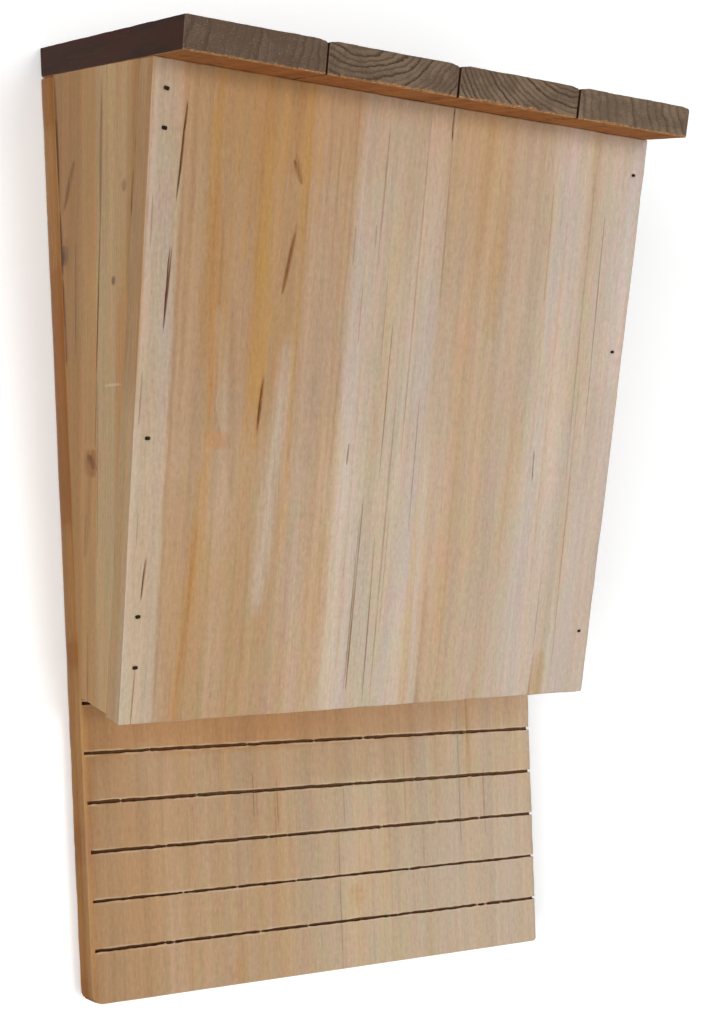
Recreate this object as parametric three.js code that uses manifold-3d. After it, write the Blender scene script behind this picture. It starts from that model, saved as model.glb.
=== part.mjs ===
// A wall-hung bat box in sawn softwood: a long back board with landing kerfs, two tapered side panels,
// a leaning front panel, a pent roof of four planks, nails, and a keyhole hanger plate in the back.
// Millimetres. X runs across the box, the front faces -Y and Z is up. The rear face lies at Y = 0.
// The origin is the reference point on the rear face where the box meets the wall.
// In the side profile, a place is given as out, the distance from the wall, and up, the height
// above the back board's foot.

import * as THREE from 'three';
import { mergeVertices } from 'three/addons/utils/BufferGeometryUtils.js';
import Module from 'manifold-3d';

const wasm = await Module();
wasm.setup();

// Driving dimensions of the whole box
const overall_height = 340;
const board_width = 196;
const wall_point_height = 170;
const joint_gap = 0.3;
const overrun = 2;
const degree = Math.PI / 180;

// Back board and its landing
const back_thickness = 12;
const left_foot_radius = 4;
const right_foot_radius = 1.6;
const kerf_count = 6;
const kerf_pitch = 17.6;
const kerf_depth = 2;
const kerf_height = 1.2;
const lowest_kerf_height = 18.6;

// Side panels
const side_thickness = 10.5;
const side_foot_rise = 1.3;

// Front panel: its outer foot corner, its lean, and how far the foot is sawn out of level
const front_thickness = 11;
const front_foot_out = 46.4;
const front_foot_height = 99.8;
const front_lean = 13.8 * degree;
const front_foot_skew = 3.7;

// Roof
const plank_count = 4;
const plank_thickness = 10.3;
const plank_gap = 0.5;
const plank_edge_width = 4;
const plank_edge_drop = 1.5;
const first_edge_width = 1.2;
const first_edge_drop = 0.6;
const roof_slope = 14.4 * degree;
const roof_overhang = 20.8;

// Nails
const nail_length = 30;
const nail_head_radius = 1;
const nail_head_thickness = 0.7;
const nail_shank_radius = 0.65;
const nail_point_length = 2;
const nail_clearance = 0.3;
const nail_head_proud = 0.2;
const nail_head_sink = 0.4;
const nail_edge_inset = 5;
const nail_sides = 8;

// Hanger plate with its keyhole, and its screws
const plate_width = 52;
const plate_height = 26;
const plate_thickness = 1.6;
const plate_corner_radius = 4;
const plate_drop = 50;
const plate_sink = 0.3;
const plate_clearance = 0.3;
const keyhole_radius = 4.5;
const keyhole_slot_width = 4.6;
const keyhole_slot_length = 9;
const keyhole_drop = 4;
const pocket_margin = 2;
const pocket_depth = 6;
const screw_spacing = 38;
const screw_length = 10;
const screw_head_radius = 3.6;
const screw_head_height = 2;
const screw_shank_radius = 1.6;
const screw_point_length = 2;
const screw_clearance = 0.3;
const screw_recess_length = 3.6;
const screw_recess_width = 0.9;
const screw_recess_depth = 1.1;
const screw_sides = 16;

// Places of the nails, as shares of the length that each row follows
const left_nail_shares = [0.094, 0.176, 0.454, 0.905, 0.96];
const right_nail_shares = [0.134, 0.64, 0.94];
const back_nail_shares = [0.2, 0.5, 0.8];
const roof_back_nail_share = 0.7;
const roof_side_nail_share = 0.45;

// Steps of the round stretches
const corner_steps = 4;
const keyhole_steps = 8;

// Worked out: the roof's underside, and the front panel's lines in the side profile
const plank_width = board_width / plank_count - plank_gap;
const roof_wall_height = overall_height - plank_thickness / Math.cos(roof_slope);
const side_middle = board_width / 2 - side_thickness / 2;
const sides_start = back_thickness + joint_gap;

function roof_under(out, gap) {
  return roof_wall_height - gap / Math.cos(roof_slope) - out * Math.tan(roof_slope);
}

// A place on the front panel: depth inside its outer face, and along it from the foot
function front_out(depth, along) {
  return front_foot_out - depth * Math.cos(front_lean) + along * Math.sin(front_lean);
}

function front_up(depth, along) {
  return front_foot_height + depth * Math.sin(front_lean) + along * Math.cos(front_lean);
}

// How far along the front panel the line at this depth meets the roof's underside, less a gap
function front_length(depth, gap) {
  const rise = roof_under(front_out(depth, 0), gap) - front_up(depth, 0);
  return rise / (Math.cos(front_lean) + Math.tan(roof_slope) * Math.sin(front_lean));
}

// The middle of each plank across the box
function plank_middle(i) {
  return ((i + 0.5) / plank_count - 0.5) * board_width;
}

// How far the foot is higher at this place across the box than at its left edge
function foot_rise(x) {
  return front_foot_skew * (x / board_width + 0.5);
}

// Materials
const box_wood = { color: 0xc0a58a, roughness: 0.8, metalness: 0 };
const side_wood = { color: 0xa08262, roughness: 0.82, metalness: 0 };
const roof_wood = { color: 0x5a4a41, roughness: 0.88, metalness: 0 };
const nail_steel = { color: 0x4a4440, roughness: 0.55, metalness: 0.7 };
const zinc_steel = { color: 0xa9aaa8, roughness: 0.4, metalness: 0.9 };

function piece(name, geometry, look) {
  const mesh = new THREE.Mesh(geometry, new THREE.MeshStandardMaterial(look));
  mesh.name = name;
  return mesh;
}

// Solids: a geometry with only its merged positions becomes a solid, and a solid a geometry
function solid(geometry) {
  const bare = geometry.clone();
  bare.deleteAttribute('normal');
  bare.deleteAttribute('uv');
  const merged = mergeVertices(bare.index ? bare.toNonIndexed() : bare);
  const vertProperties = new Float32Array(merged.attributes.position.array);
  const triVerts = new Uint32Array(merged.index.array);
  return new wasm.Manifold(new wasm.Mesh({ numProp: 3, vertProperties, triVerts }));
}

function geometry_of(shape) {
  const mesh = shape.getMesh();
  const geometry = new THREE.BufferGeometry();
  geometry.setAttribute('position', new THREE.BufferAttribute(mesh.vertProperties, 3));
  geometry.setIndex(new THREE.BufferAttribute(mesh.triVerts, 1));
  geometry.computeVertexNormals();
  return geometry;
}

function cut(geometry, cutters) {
  let shape = solid(geometry);
  for (const cutter of cutters) shape = shape.subtract(solid(cutter));
  return geometry_of(shape);
}

// A side profile of [out, up] places, drawn across the box from one x to the other
function across(profile, x_low, x_high) {
  const shape = new THREE.Shape(profile.map(([out, up]) => new THREE.Vector2(out, up)));
  const geometry = new THREE.ExtrudeGeometry(shape, { depth: x_high - x_low, bevelEnabled: false });
  const axes = new THREE.Matrix4().makeBasis(
    new THREE.Vector3(0, -1, 0),
    new THREE.Vector3(0, 0, 1),
    new THREE.Vector3(-1, 0, 0),
  );
  return geometry.applyMatrix4(axes).translate(x_high, 0, 0);
}

// A turned shape about the Y axis, from [radius, y] pairs that rise from the axis and end on it
function turned(pairs, sides) {
  const points = pairs.map(([radius, y]) => new THREE.Vector2(radius, y));
  return geometry_of(solid(new THREE.LatheGeometry(points, sides)));
}

// A rectangle with rounded corners, centred on its own middle
function rounded_rectangle(width, height, radius) {
  const x = width / 2;
  const y = height / 2;
  const shape = new THREE.Shape();
  shape.moveTo(x, radius - y);
  shape.absarc(x - radius, y - radius, radius, 0, Math.PI / 2, false);
  shape.absarc(radius - x, y - radius, radius, Math.PI / 2, Math.PI, false);
  shape.absarc(radius - x, radius - y, radius, Math.PI, 1.5 * Math.PI, false);
  shape.absarc(x - radius, radius - y, radius, 1.5 * Math.PI, 2 * Math.PI, false);
  return shape;
}

// A shape drawn in X and Z, going from y_front back to y_rear
function upright(shape, y_front, y_rear, segments) {
  const geometry = new THREE.ExtrudeGeometry(shape, {
    depth: y_rear - y_front,
    bevelEnabled: false,
    curveSegments: segments,
  });
  return geometry.rotateX(Math.PI / 2).translate(0, y_rear, 0);
}

// A nail points along +Y with its head's face at y = 0. Its hole is wider by a clearance all round.
function nail_geometry() {
  return turned([
    [0, 0],
    [nail_head_radius, 0],
    [nail_head_radius, nail_head_thickness],
    [nail_shank_radius, nail_head_thickness],
    [nail_shank_radius, nail_length - nail_point_length],
    [0, nail_length],
  ], nail_sides);
}

function nail_hole_geometry() {
  const head = nail_head_radius + nail_clearance;
  const shank = nail_shank_radius + nail_clearance;
  const floor = nail_head_thickness + nail_clearance;
  return turned([
    [0, -overrun],
    [head, -overrun],
    [head, floor],
    [shank, floor],
    [shank, nail_length + nail_clearance],
    [0, nail_length + nail_clearance],
  ], nail_sides);
}

function screw_geometry() {
  const body = turned([
    [0, 0],
    [screw_head_radius, 0],
    [screw_shank_radius, screw_head_height],
    [screw_shank_radius, screw_length - screw_point_length],
    [0, screw_length],
  ], screw_sides);
  const bar = [screw_recess_length, 2 * screw_recess_depth, screw_recess_width];
  const upright_bar = [screw_recess_width, 2 * screw_recess_depth, screw_recess_length];
  return cut(body, [new THREE.BoxGeometry(...bar), new THREE.BoxGeometry(...upright_bar)]);
}

function screw_hole_geometry() {
  const head = screw_head_radius + screw_clearance;
  const shank = screw_shank_radius + screw_clearance;
  return turned([
    [0, -overrun],
    [head, -overrun],
    [head, 0],
    [shank, screw_head_height],
    [shank, screw_length + screw_clearance],
    [0, screw_length + screw_clearance],
  ], screw_sides);
}

// Groups that carry turned pieces: the front panel leans, the roof slopes, the rear looks at the wall
const box = new THREE.Group();
const front = new THREE.Group();
front.position.set(0, -front_foot_out, front_foot_height - wall_point_height);
front.rotation.x = front_lean;
const roof = new THREE.Group();
roof.position.set(0, 0, roof_wall_height - wall_point_height);
roof.rotation.x = roof_slope;
const rear = new THREE.Group();
rear.rotation.z = Math.PI;
box.add(front, roof, rear);
box.updateMatrixWorld(true);

// Each nail: its name, the group that it is driven from, its head's place there, and its turn about X
const panel_length = front_length(0, joint_gap);
const nails = [];

function add_nail(name, group, position, turn) {
  const place = new THREE.Matrix4().makeRotationX(turn).setPosition(position);
  nails.push({ name, group, position, turn, world: group.matrixWorld.clone().multiply(place) });
}

function add_front_nails(name, x, shares) {
  for (const [i, share] of shares.entries()) {
    const position = new THREE.Vector3(x, -nail_head_proud, share * panel_length);
    add_nail(`${name}_${i + 1}`, front, position, 0);
  }
}

add_front_nails('front_nail_left', nail_edge_inset - board_width / 2, left_nail_shares);
add_front_nails('front_nail_right', board_width / 2 - nail_edge_inset, right_nail_shares);

// A roof nail goes straight down through the plank, so that it meets the underside at this distance out
function add_roof_nail(name, x, out) {
  const position = new THREE.Vector3(x, -out / Math.cos(roof_slope), plank_thickness + nail_head_proud);
  add_nail(name, roof, position, -Math.PI / 2);
}

const front_middle = front_length(front_thickness / 2, 0);
const roof_front_out = front_out(front_thickness / 2, front_middle);
const roof_side_out = sides_start + roof_side_nail_share * (roof_front_out - sides_start);
for (let i = 0; i < plank_count; i++) {
  add_roof_nail(`roof_nail_back_${i + 1}`, plank_middle(i), roof_back_nail_share * back_thickness);
  add_roof_nail(`roof_nail_front_${i + 1}`, plank_middle(i), roof_front_out);
}
add_roof_nail('roof_nail_side_1', -side_middle, roof_side_out);
add_roof_nail('roof_nail_side_2', side_middle, roof_side_out);

// The back nails stand in the rear group, whose X runs the other way
const side_foot = front_up(front_thickness, side_foot_rise);
const side_back_height = roof_under(sides_start, joint_gap) - side_foot;
for (const [i, share] of back_nail_shares.entries()) {
  const up = side_foot + share * side_back_height - wall_point_height;
  add_nail(`back_nail_left_${i + 1}`, rear, new THREE.Vector3(side_middle, nail_head_sink, up), 0);
  add_nail(`back_nail_right_${i + 1}`, rear, new THREE.Vector3(-side_middle, nail_head_sink, up), 0);
}

// Nail holes in the frame of one group, for the nails whose names start with one of these words
const nail_hole = nail_hole_geometry();

function holes(group, starts) {
  const inverse = group.matrixWorld.clone().invert();
  return nails
    .filter((nail) => starts.some((start) => nail.name.startsWith(start)))
    .map((nail) => nail_hole.clone().applyMatrix4(inverse.clone().multiply(nail.world)));
}

// Hanger screws stand in the rear group, flush with the plate's outer face
const plate_up = overall_height - plate_drop - wall_point_height;
const screw_row = { hanger_screw_left: screw_spacing / 2, hanger_screw_right: -screw_spacing / 2 };
const screw_hole = screw_hole_geometry();

function screw_holes(group) {
  const inverse = group.matrixWorld.clone().invert();
  return Object.values(screw_row).map((x) => {
    const place = new THREE.Matrix4().makeTranslation(x, plate_sink, plate_up);
    return screw_hole.clone().applyMatrix4(place.premultiply(rear.matrixWorld).premultiply(inverse));
  });
}

// Back board: a side profile with its kerfs, sawn to an outline with rounded foot corners
function back_board() {
  const profile = [[0, 0], [back_thickness, 0]];
  for (let i = 0; i < kerf_count; i++) {
    const low = lowest_kerf_height + i * kerf_pitch - kerf_height / 2;
    const high = low + kerf_height;
    const floor = back_thickness - kerf_depth;
    profile.push([back_thickness, low], [floor, low], [floor, high], [back_thickness, high]);
  }
  profile.push([back_thickness, roof_under(back_thickness, joint_gap)]);
  profile.push([0, roof_under(0, joint_gap)]);
  const board = across(profile, -board_width / 2, board_width / 2).translate(0, 0, -wall_point_height);
  const sawn = solid(board).intersect(solid(foot_outline()));
  const nail_holes = holes(box, ['back_nail', 'roof_nail_back']);
  return cut(geometry_of(sawn), [plate_recess(), keyhole_pocket(), ...screw_holes(box), ...nail_holes]);
}

// The back board's outline from the front: wider than the board, but for its rounded foot
function foot_outline() {
  const left = left_foot_radius;
  const right = right_foot_radius;
  const x = board_width / 2;
  const wide = x + overrun;
  const left_corner = left - wall_point_height;
  const right_corner = right - wall_point_height;
  const outline = new THREE.Shape();
  outline.moveTo(wide, overall_height);
  outline.lineTo(-wide, overall_height);
  outline.lineTo(-wide, left_corner);
  outline.lineTo(-x, left_corner);
  outline.absarc(left - x, left_corner, left, Math.PI, 1.5 * Math.PI, false);
  outline.absarc(x - right, right_corner, right, 1.5 * Math.PI, 2 * Math.PI, false);
  outline.lineTo(wide, right_corner);
  return upright(outline, -back_thickness - overrun, overrun, corner_steps);
}

// The recess that the plate lies in, and the pocket behind its keyhole for a wall screw's head
function plate_recess() {
  const shape = rounded_rectangle(
    plate_width + 2 * plate_clearance,
    plate_height + 2 * plate_clearance,
    plate_corner_radius + plate_clearance,
  );
  const depth = plate_sink + plate_thickness + plate_clearance;
  return upright(shape, -depth, overrun, corner_steps).translate(0, 0, plate_up);
}

function keyhole_pocket() {
  const width = 2 * (keyhole_radius + pocket_margin);
  const height = 2 * keyhole_radius + keyhole_slot_length + 2 * pocket_margin;
  const shape = rounded_rectangle(width, height, keyhole_radius);
  const middle = plate_up - keyhole_drop + keyhole_slot_length / 2;
  return upright(shape, -pocket_depth, overrun, corner_steps).translate(0, 0, middle);
}

// Hanger plate: a flat plate with a keyhole and two countersunk screw holes
function hanger_plate() {
  const plate = rounded_rectangle(plate_width, plate_height, plate_corner_radius);
  const keyhole = new THREE.Path();
  const half_slot = keyhole_slot_width / 2;
  const mouth = Math.asin(half_slot / keyhole_radius);
  const slot_top = keyhole_slot_length - keyhole_drop;
  keyhole.absarc(0, -keyhole_drop, keyhole_radius, Math.PI / 2 + mouth, 2.5 * Math.PI - mouth, false);
  keyhole.absarc(0, slot_top, half_slot, 0, Math.PI, false);
  plate.holes.push(keyhole);
  const flat = upright(plate, -plate_sink - plate_thickness, -plate_sink, keyhole_steps);
  return cut(flat.translate(0, 0, plate_up), screw_holes(box));
}

// Side panel: from the back board to the front panel, its foot sawn square to the front
function side_panel(middle, nail_starts) {
  const depth = front_thickness + joint_gap;
  const rise = side_foot_rise + foot_rise(middle);
  const back_depth = (front_foot_out + rise * Math.sin(front_lean) - sides_start) / Math.cos(front_lean);
  const top = front_length(depth, joint_gap);
  const profile = [
    [front_out(back_depth, rise), front_up(back_depth, rise)],
    [front_out(depth, rise), front_up(depth, rise)],
    [front_out(depth, top), front_up(depth, top)],
    [sides_start, roof_under(sides_start, joint_gap)],
  ];
  const board = across(profile, middle - side_thickness / 2, middle + side_thickness / 2);
  return cut(board.translate(0, 0, -wall_point_height), holes(box, nail_starts));
}

// Front panel, in the front group: its foot square to its face and sawn a little out of level
function front_panel() {
  const inner = -front_thickness;
  const profile = [[0, 0], [inner, 0], [inner, front_length(front_thickness, joint_gap)], [0, panel_length]];
  const geometry = across(profile, -board_width / 2, board_width / 2);
  const position = geometry.attributes.position;
  for (let i = 0; i < position.count; i++) {
    if (position.getZ(i) < panel_length / 2) position.setZ(i, foot_rise(position.getX(i)));
  }
  return cut(geometry, holes(front, ['front_nail', 'roof_nail_front']));
}

// Roof plank, in the roof group: two long top edges eased to part of an ellipse, sawn plumb at the wall.
// The first plank's outer edge is eased less than the others.
function roof_plank(i) {
  const middle = plank_middle(i);
  const half = plank_width / 2;
  const edge = plank_edge_width;
  const drop = plank_edge_drop;
  const left_edge = i === 0 ? first_edge_width : edge;
  const left_drop = i === 0 ? first_edge_drop : drop;
  const shape = new THREE.Shape();
  shape.moveTo(-half, 0);
  shape.lineTo(half, 0);
  shape.absellipse(half - edge, plank_thickness - drop, edge, drop, 0, Math.PI / 2, false, 0);
  shape.absellipse(left_edge - half, plank_thickness - left_drop, left_edge, left_drop, Math.PI / 2, Math.PI, false, 0);
  const run = front_out(0, front_length(0, 0)) / Math.cos(roof_slope) + roof_overhang;
  const geometry = upright(shape, -run, 0, corner_steps);
  const position = geometry.attributes.position;
  for (let i = 0; i < position.count; i++) {
    if (position.getY(i) > -run / 2) position.setY(i, position.getZ(i) * Math.tan(roof_slope));
  }
  return cut(geometry.translate(middle, 0, 0), holes(roof, ['roof_nail']));
}

// The assembly
box.add(piece('back_board', back_board(), box_wood));
const left_nails = ['front_nail_left', 'back_nail_left', 'roof_nail_side_1'];
const right_nails = ['front_nail_right', 'back_nail_right', 'roof_nail_side_2'];
box.add(piece('left_side', side_panel(-side_middle, left_nails), side_wood));
box.add(piece('right_side', side_panel(side_middle, right_nails), side_wood));
front.add(piece('front_panel', front_panel(), box_wood));
for (let i = 0; i < plank_count; i++) {
  roof.add(piece(`roof_plank_${i + 1}`, roof_plank(i), roof_wood));
}
box.add(piece('hanger_plate', hanger_plate(), zinc_steel));
for (const [name, x] of Object.entries(screw_row)) {
  const screw = piece(name, screw_geometry(), zinc_steel);
  screw.position.set(x, plate_sink, plate_up);
  rear.add(screw);
}
for (const nail of nails) {
  const mesh = piece(nail.name, nail_geometry(), nail_steel);
  mesh.position.copy(nail.position);
  mesh.rotation.x = nail.turn;
  nail.group.add(mesh);
}

export default box;
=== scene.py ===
# %% [markdown]
# # A bat box in sawn softwood
# The object is a wall-hung bat box: a long back board with landing kerfs, two tapered side panels, a
# leaning front panel and a pent roof of four weathered planks, all nailed together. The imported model
# is the fixed frame. Each board is made again here as a fine surface, in the same place and size.

# %% Load the frame
import math

import bpy
import numpy as np
from mathutils import Matrix


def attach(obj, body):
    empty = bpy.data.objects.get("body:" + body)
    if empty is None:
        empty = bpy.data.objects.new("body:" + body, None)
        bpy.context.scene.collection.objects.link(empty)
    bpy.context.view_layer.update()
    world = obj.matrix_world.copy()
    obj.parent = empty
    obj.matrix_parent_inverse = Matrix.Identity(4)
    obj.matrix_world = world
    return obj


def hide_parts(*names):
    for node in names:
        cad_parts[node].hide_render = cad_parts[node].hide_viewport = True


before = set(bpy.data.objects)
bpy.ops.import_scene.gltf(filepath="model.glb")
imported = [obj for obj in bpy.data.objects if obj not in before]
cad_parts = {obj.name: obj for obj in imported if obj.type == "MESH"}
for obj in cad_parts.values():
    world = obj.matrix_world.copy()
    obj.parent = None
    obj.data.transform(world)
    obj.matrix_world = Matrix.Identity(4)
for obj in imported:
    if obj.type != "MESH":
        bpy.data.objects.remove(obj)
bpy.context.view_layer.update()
MM = 0.001
print("nodes in the frame:", len(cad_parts))

# %% [markdown]
# ## The camera
# The photograph was taken from the front left, a little below the middle of the box, with upright lines
# kept almost parallel. That is a camera that turns about 31 degrees and hardly tilts, and whose picture
# is shifted upwards. The angles came from fitting the box's corners.

# %% Camera
CAMERA_PLACE = (-0.306793, -0.554639, -0.052825)
CAMERA_TURN, CAMERA_TILT, CAMERA_ROLL = (math.radians(a) for a in (-30.626, 1.822, -2.168))
PICTURE_LONG_SIDE = 1024
FOCAL_PIXELS = 1627.549
SENSOR = 36
SHIFT_PIXELS = 205


def turn_about(axis, angle):
    return np.array(Matrix.Rotation(angle, 3, axis))


look = turn_about("Z", CAMERA_ROLL) @ turn_about("X", CAMERA_TILT) @ turn_about("Y", CAMERA_TURN)
right, down, ahead = (np.array([row[0], row[2], -row[1]]) for row in look)
camera_data = bpy.data.cameras.new("camera")
camera_data.sensor_width = SENSOR
camera_data.lens = FOCAL_PIXELS / PICTURE_LONG_SIDE * SENSOR
camera_data.shift_y = SHIFT_PIXELS / PICTURE_LONG_SIDE
camera = bpy.data.objects.new("camera", camera_data)
bpy.context.scene.collection.objects.link(camera)
camera.matrix_world = Matrix.Translation(CAMERA_PLACE) @ Matrix(np.stack([right, -down, -ahead], 1)).to_4x4()
bpy.context.scene.camera = camera
print("lens in mm:", round(camera_data.lens, 2))

# %% [markdown]
# ## The box's sizes
# All sizes are in millimetres. In the side profile a place is given as out, the distance from the wall,
# and up, the height above the back board's foot. These are the sizes that the solids have, so each new
# surface falls where its solid is.

# %% Sizes and lines of the side profile
HEIGHT, WIDTH, WALL_POINT = 340.0, 196.0, 170.0
JOINT_GAP = 0.3
JOINT_SEEN = 0.06  # the boards meet the roof closer than their solids do
BACK_THICKNESS, LEFT_FOOT_RADIUS, RIGHT_FOOT_RADIUS = 12.0, 4.0, 1.6
KERF_PITCH, KERF_DEPTH, LOWEST_KERF, KERF_FALL = 17.6, 2.0, 18.6, 1.5
KERF_SEEN = np.array([0.95, 0.87, 1.02, 1.14, 1.06, 1.06])  # torn lips make each kerf narrower or wider
KERF_STARTS = np.array([-95.8, -96.0, -96.2, -96.4, -97.2, -97.2])  # the lower ones stop short of the arris
KERF_COUNT = 6
SIDE_THICKNESS, SIDE_FOOT_RISE = 10.5, 1.3
FRONT_THICKNESS, FRONT_FOOT_OUT, FRONT_FOOT_UP, FRONT_SKEW = 11.0, 46.4, 99.8, 3.7
LEAN = math.radians(13.8)
PLANK_COUNT, PLANK_THICKNESS, PLANK_GAP = 4, 10.3, 0.5
PLANK_EDGE_WIDTH, PLANK_EDGE_DROP, ROOF_OVERHANG = 4.0, 1.5, 20.8
FIRST_EDGE_WIDTH, FIRST_EDGE_DROP = 1.2, 0.6
SLOPE = math.radians(14.4)
ROOF_WALL_UP = HEIGHT - PLANK_THICKNESS / math.cos(SLOPE)
SIDE_MIDDLE = WIDTH / 2 - SIDE_THICKNESS / 2
SIDES_START = BACK_THICKNESS + JOINT_GAP


def roof_under(out, gap):
    """Height of the roof's underside at a distance from the wall, less a gap square to it."""
    return ROOF_WALL_UP - gap / math.cos(SLOPE) - out * math.tan(SLOPE)


def front_out(depth, along):
    return FRONT_FOOT_OUT - depth * math.cos(LEAN) + along * math.sin(LEAN)


def front_up(depth, along):
    return FRONT_FOOT_UP + depth * math.sin(LEAN) + along * math.cos(LEAN)


def front_length(depth, gap):
    """How far along the front panel the line at this depth meets the roof's underside."""
    rise = roof_under(front_out(depth, 0), gap) - front_up(depth, 0)
    return rise / (math.cos(LEAN) + math.tan(SLOPE) * math.sin(LEAN))


def foot_rise(x):
    """How far the front panel's foot, sawn out of level, is higher here than at its left edge."""
    return FRONT_SKEW * (x / WIDTH + 0.5)


def in_frame(x, out, up):
    """Places in the frame, in metres: x across, the front at minus y, the wall point at the origin."""
    return np.stack([x, -out, up - WALL_POINT], 1) * MM


PANEL_LENGTH = front_length(0, JOINT_GAP)
PLANK_RUN = front_out(0, front_length(0, 0)) / math.cos(SLOPE) + ROOF_OVERHANG
print("front panel length:", round(PANEL_LENGTH, 2), "plank run:", round(PLANK_RUN, 2))

# %% [markdown]
# ## Uneven, but the same each time
# Sawn timber is never quite even: arrises are worn here and sharp there, and a kerf's lips wander. Two
# smooth random functions give that. Each is made of random knots on a line or a grid, joined by an eased
# curve, and a seed keeps it the same in every run.

# %% Smooth random values
KNOT_START, KNOT_END = -400.0, 800.0


def eased(t):
    return t * t * (3 - 2 * t)


def wander(places, seed, step):
    """Between -1 and 1 along a line: random knots, one every step, and between two knots their values
    weighted by an eased share of the way."""
    knots = np.random.default_rng(seed).uniform(-1, 1, int((KNOT_END - KNOT_START) / step) + 2)
    along = (np.asarray(places, float) - KNOT_START) / step
    low = np.floor(along).astype(int)
    share = eased(along - low)
    return knots[low] * (1 - share) + knots[low + 1] * share


def patches(u, v, seed, step_u, step_v):
    """Between -1 and 1 over a plane: the same with a grid of knots, weighted both ways."""
    count = [int((KNOT_END - KNOT_START) / step) + 2 for step in (step_u, step_v)]
    knots = np.random.default_rng(seed).uniform(-1, 1, count)
    a, b = (np.asarray(u, float) - KNOT_START) / step_u, (np.asarray(v, float) - KNOT_START) / step_v
    i, j = np.floor(a).astype(int), np.floor(b).astype(int)
    s, t = eased(a - i), eased(b - j)
    near = knots[i, j] * (1 - s) + knots[i + 1, j] * s
    far = knots[i, j + 1] * (1 - s) + knots[i + 1, j + 1] * s
    return near * (1 - t) + far * t


# %% [markdown]
# ## A board as a ruled block
# A board could be a cube with bevels, but then a kerf, a crack or a worn arris has nothing to bend. Here
# each board starts as a block whose six faces are grids of lines, close together where something
# happens. The grids share the points on their borders, so the surface is closed, and every later step
# only moves points.

# %% Blocks
EDGE_OFFSETS = np.array([0, 0.12, 0.28, 0.5, 0.8, 1.2, 1.8])


def lines(low, high, step, *close):
    """Places of the lines from low to high: one every step, and the close ones, which win where an even
    one lies too near."""
    even = np.linspace(low, high, max(2, round((high - low) / step) + 1))
    near = np.unique(np.concatenate([low + EDGE_OFFSETS, high - EDGE_OFFSETS, *close]))
    near = near[(near >= low) & (near <= high)]
    near = near[np.append(np.diff(near) > 0.03, True)]
    gap = np.abs(even[:, None] - near[None, :]).min(1)
    return np.unique(np.concatenate([even[gap > 0.35 * step], near]))


def block(us, vs, ws):
    """Points (u, v, w) on the outside of a block and the quads between them: the grid of each of its six
    faces, with the points on the borders shared."""
    shape = (len(us), len(vs), len(ws))
    i, j, k = np.indices(shape)
    outside = (i % (shape[0] - 1) == 0) | (j % (shape[1] - 1) == 0) | (k % (shape[2] - 1) == 0)
    number = np.full(shape, -1)
    number[outside] = np.arange(outside.sum())
    points = np.stack([us[i[outside]], vs[j[outside]], ws[k[outside]]], 1)
    quads = []
    for axis in range(3):
        for end in (0, -1):
            sheet = np.take(number, end, axis)
            loop = [sheet[:-1, :-1], sheet[1:, :-1], sheet[1:, 1:], sheet[:-1, 1:]]
            loop = np.stack(loop, -1).reshape(-1, 4)
            quads.append(loop[:, ::-1] if (end == 0) != (axis == 1) else loop)
    return points, np.concatenate(quads)


def roundness(a, b):
    """What a point at offset (a, b) on a square shell is to be scaled by to lie on the round one."""
    length = np.hypot(a, b)
    return np.maximum(np.abs(a), np.abs(b)) / np.where(length > 0, length, 1)


def wear_arrises(points, radius):
    """Rounds a block's arrises: within the radius of an arris, the square shell round the inner block
    becomes a round one, so a point at offset d goes to d times its largest part over its length."""
    low, high = points.min(0), points.max(0)
    radius = np.broadcast_to(radius, len(points))[:, None]
    inner = np.clip(points, low + radius, high - radius)
    offset = points - inner
    length = np.linalg.norm(offset, axis=1)
    share = np.abs(offset).max(1) / np.where(length > 0, length, 1)
    return inner + offset * share[:, None]


def stretch(values, low, high, new_low, new_high, margin=3.0):
    """Moves low to new_low and high to new_high, keeps true distances within the margin of each end,
    and spreads the middle evenly."""
    middle = (values - low - margin) / (high - low - 2 * margin)
    middle = new_low + margin + middle * (new_high - new_low - 2 * margin)
    ends = np.where(values < low + margin, new_low + values - low, new_high - high + values)
    return np.where((values < low + margin) | (values > high - margin), ends, middle)


def arris_distance(points):
    """Distance from each point of a block to its nearest arris: its second smallest distance to a face."""
    low, high = points.min(0), points.max(0)
    to_face = np.minimum(points - low, high - points)
    return np.sort(to_face, axis=1)[:, 1]


# %% [markdown]
# ## From points to a piece
# A piece is a mesh object at the origin that rides on the box's one body. The arrays go into the mesh in
# one call each. Values that follow the surface, such as how near an arris a point is, go in as
# attributes for the materials to read.

# %% Pieces
SHARP_ANGLE = math.radians(38)


def volume_of(places, quads):
    """Signed volume: the sum over each quad's two triangles of a sixth of the box product."""
    triangles = np.concatenate([quads[:, [0, 1, 2]], quads[:, [0, 2, 3]]])
    a, b, c = (places[triangles[:, n]] for n in range(3))
    return np.einsum("ij,ij->i", a, np.cross(b, c)).sum() / 6


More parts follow.
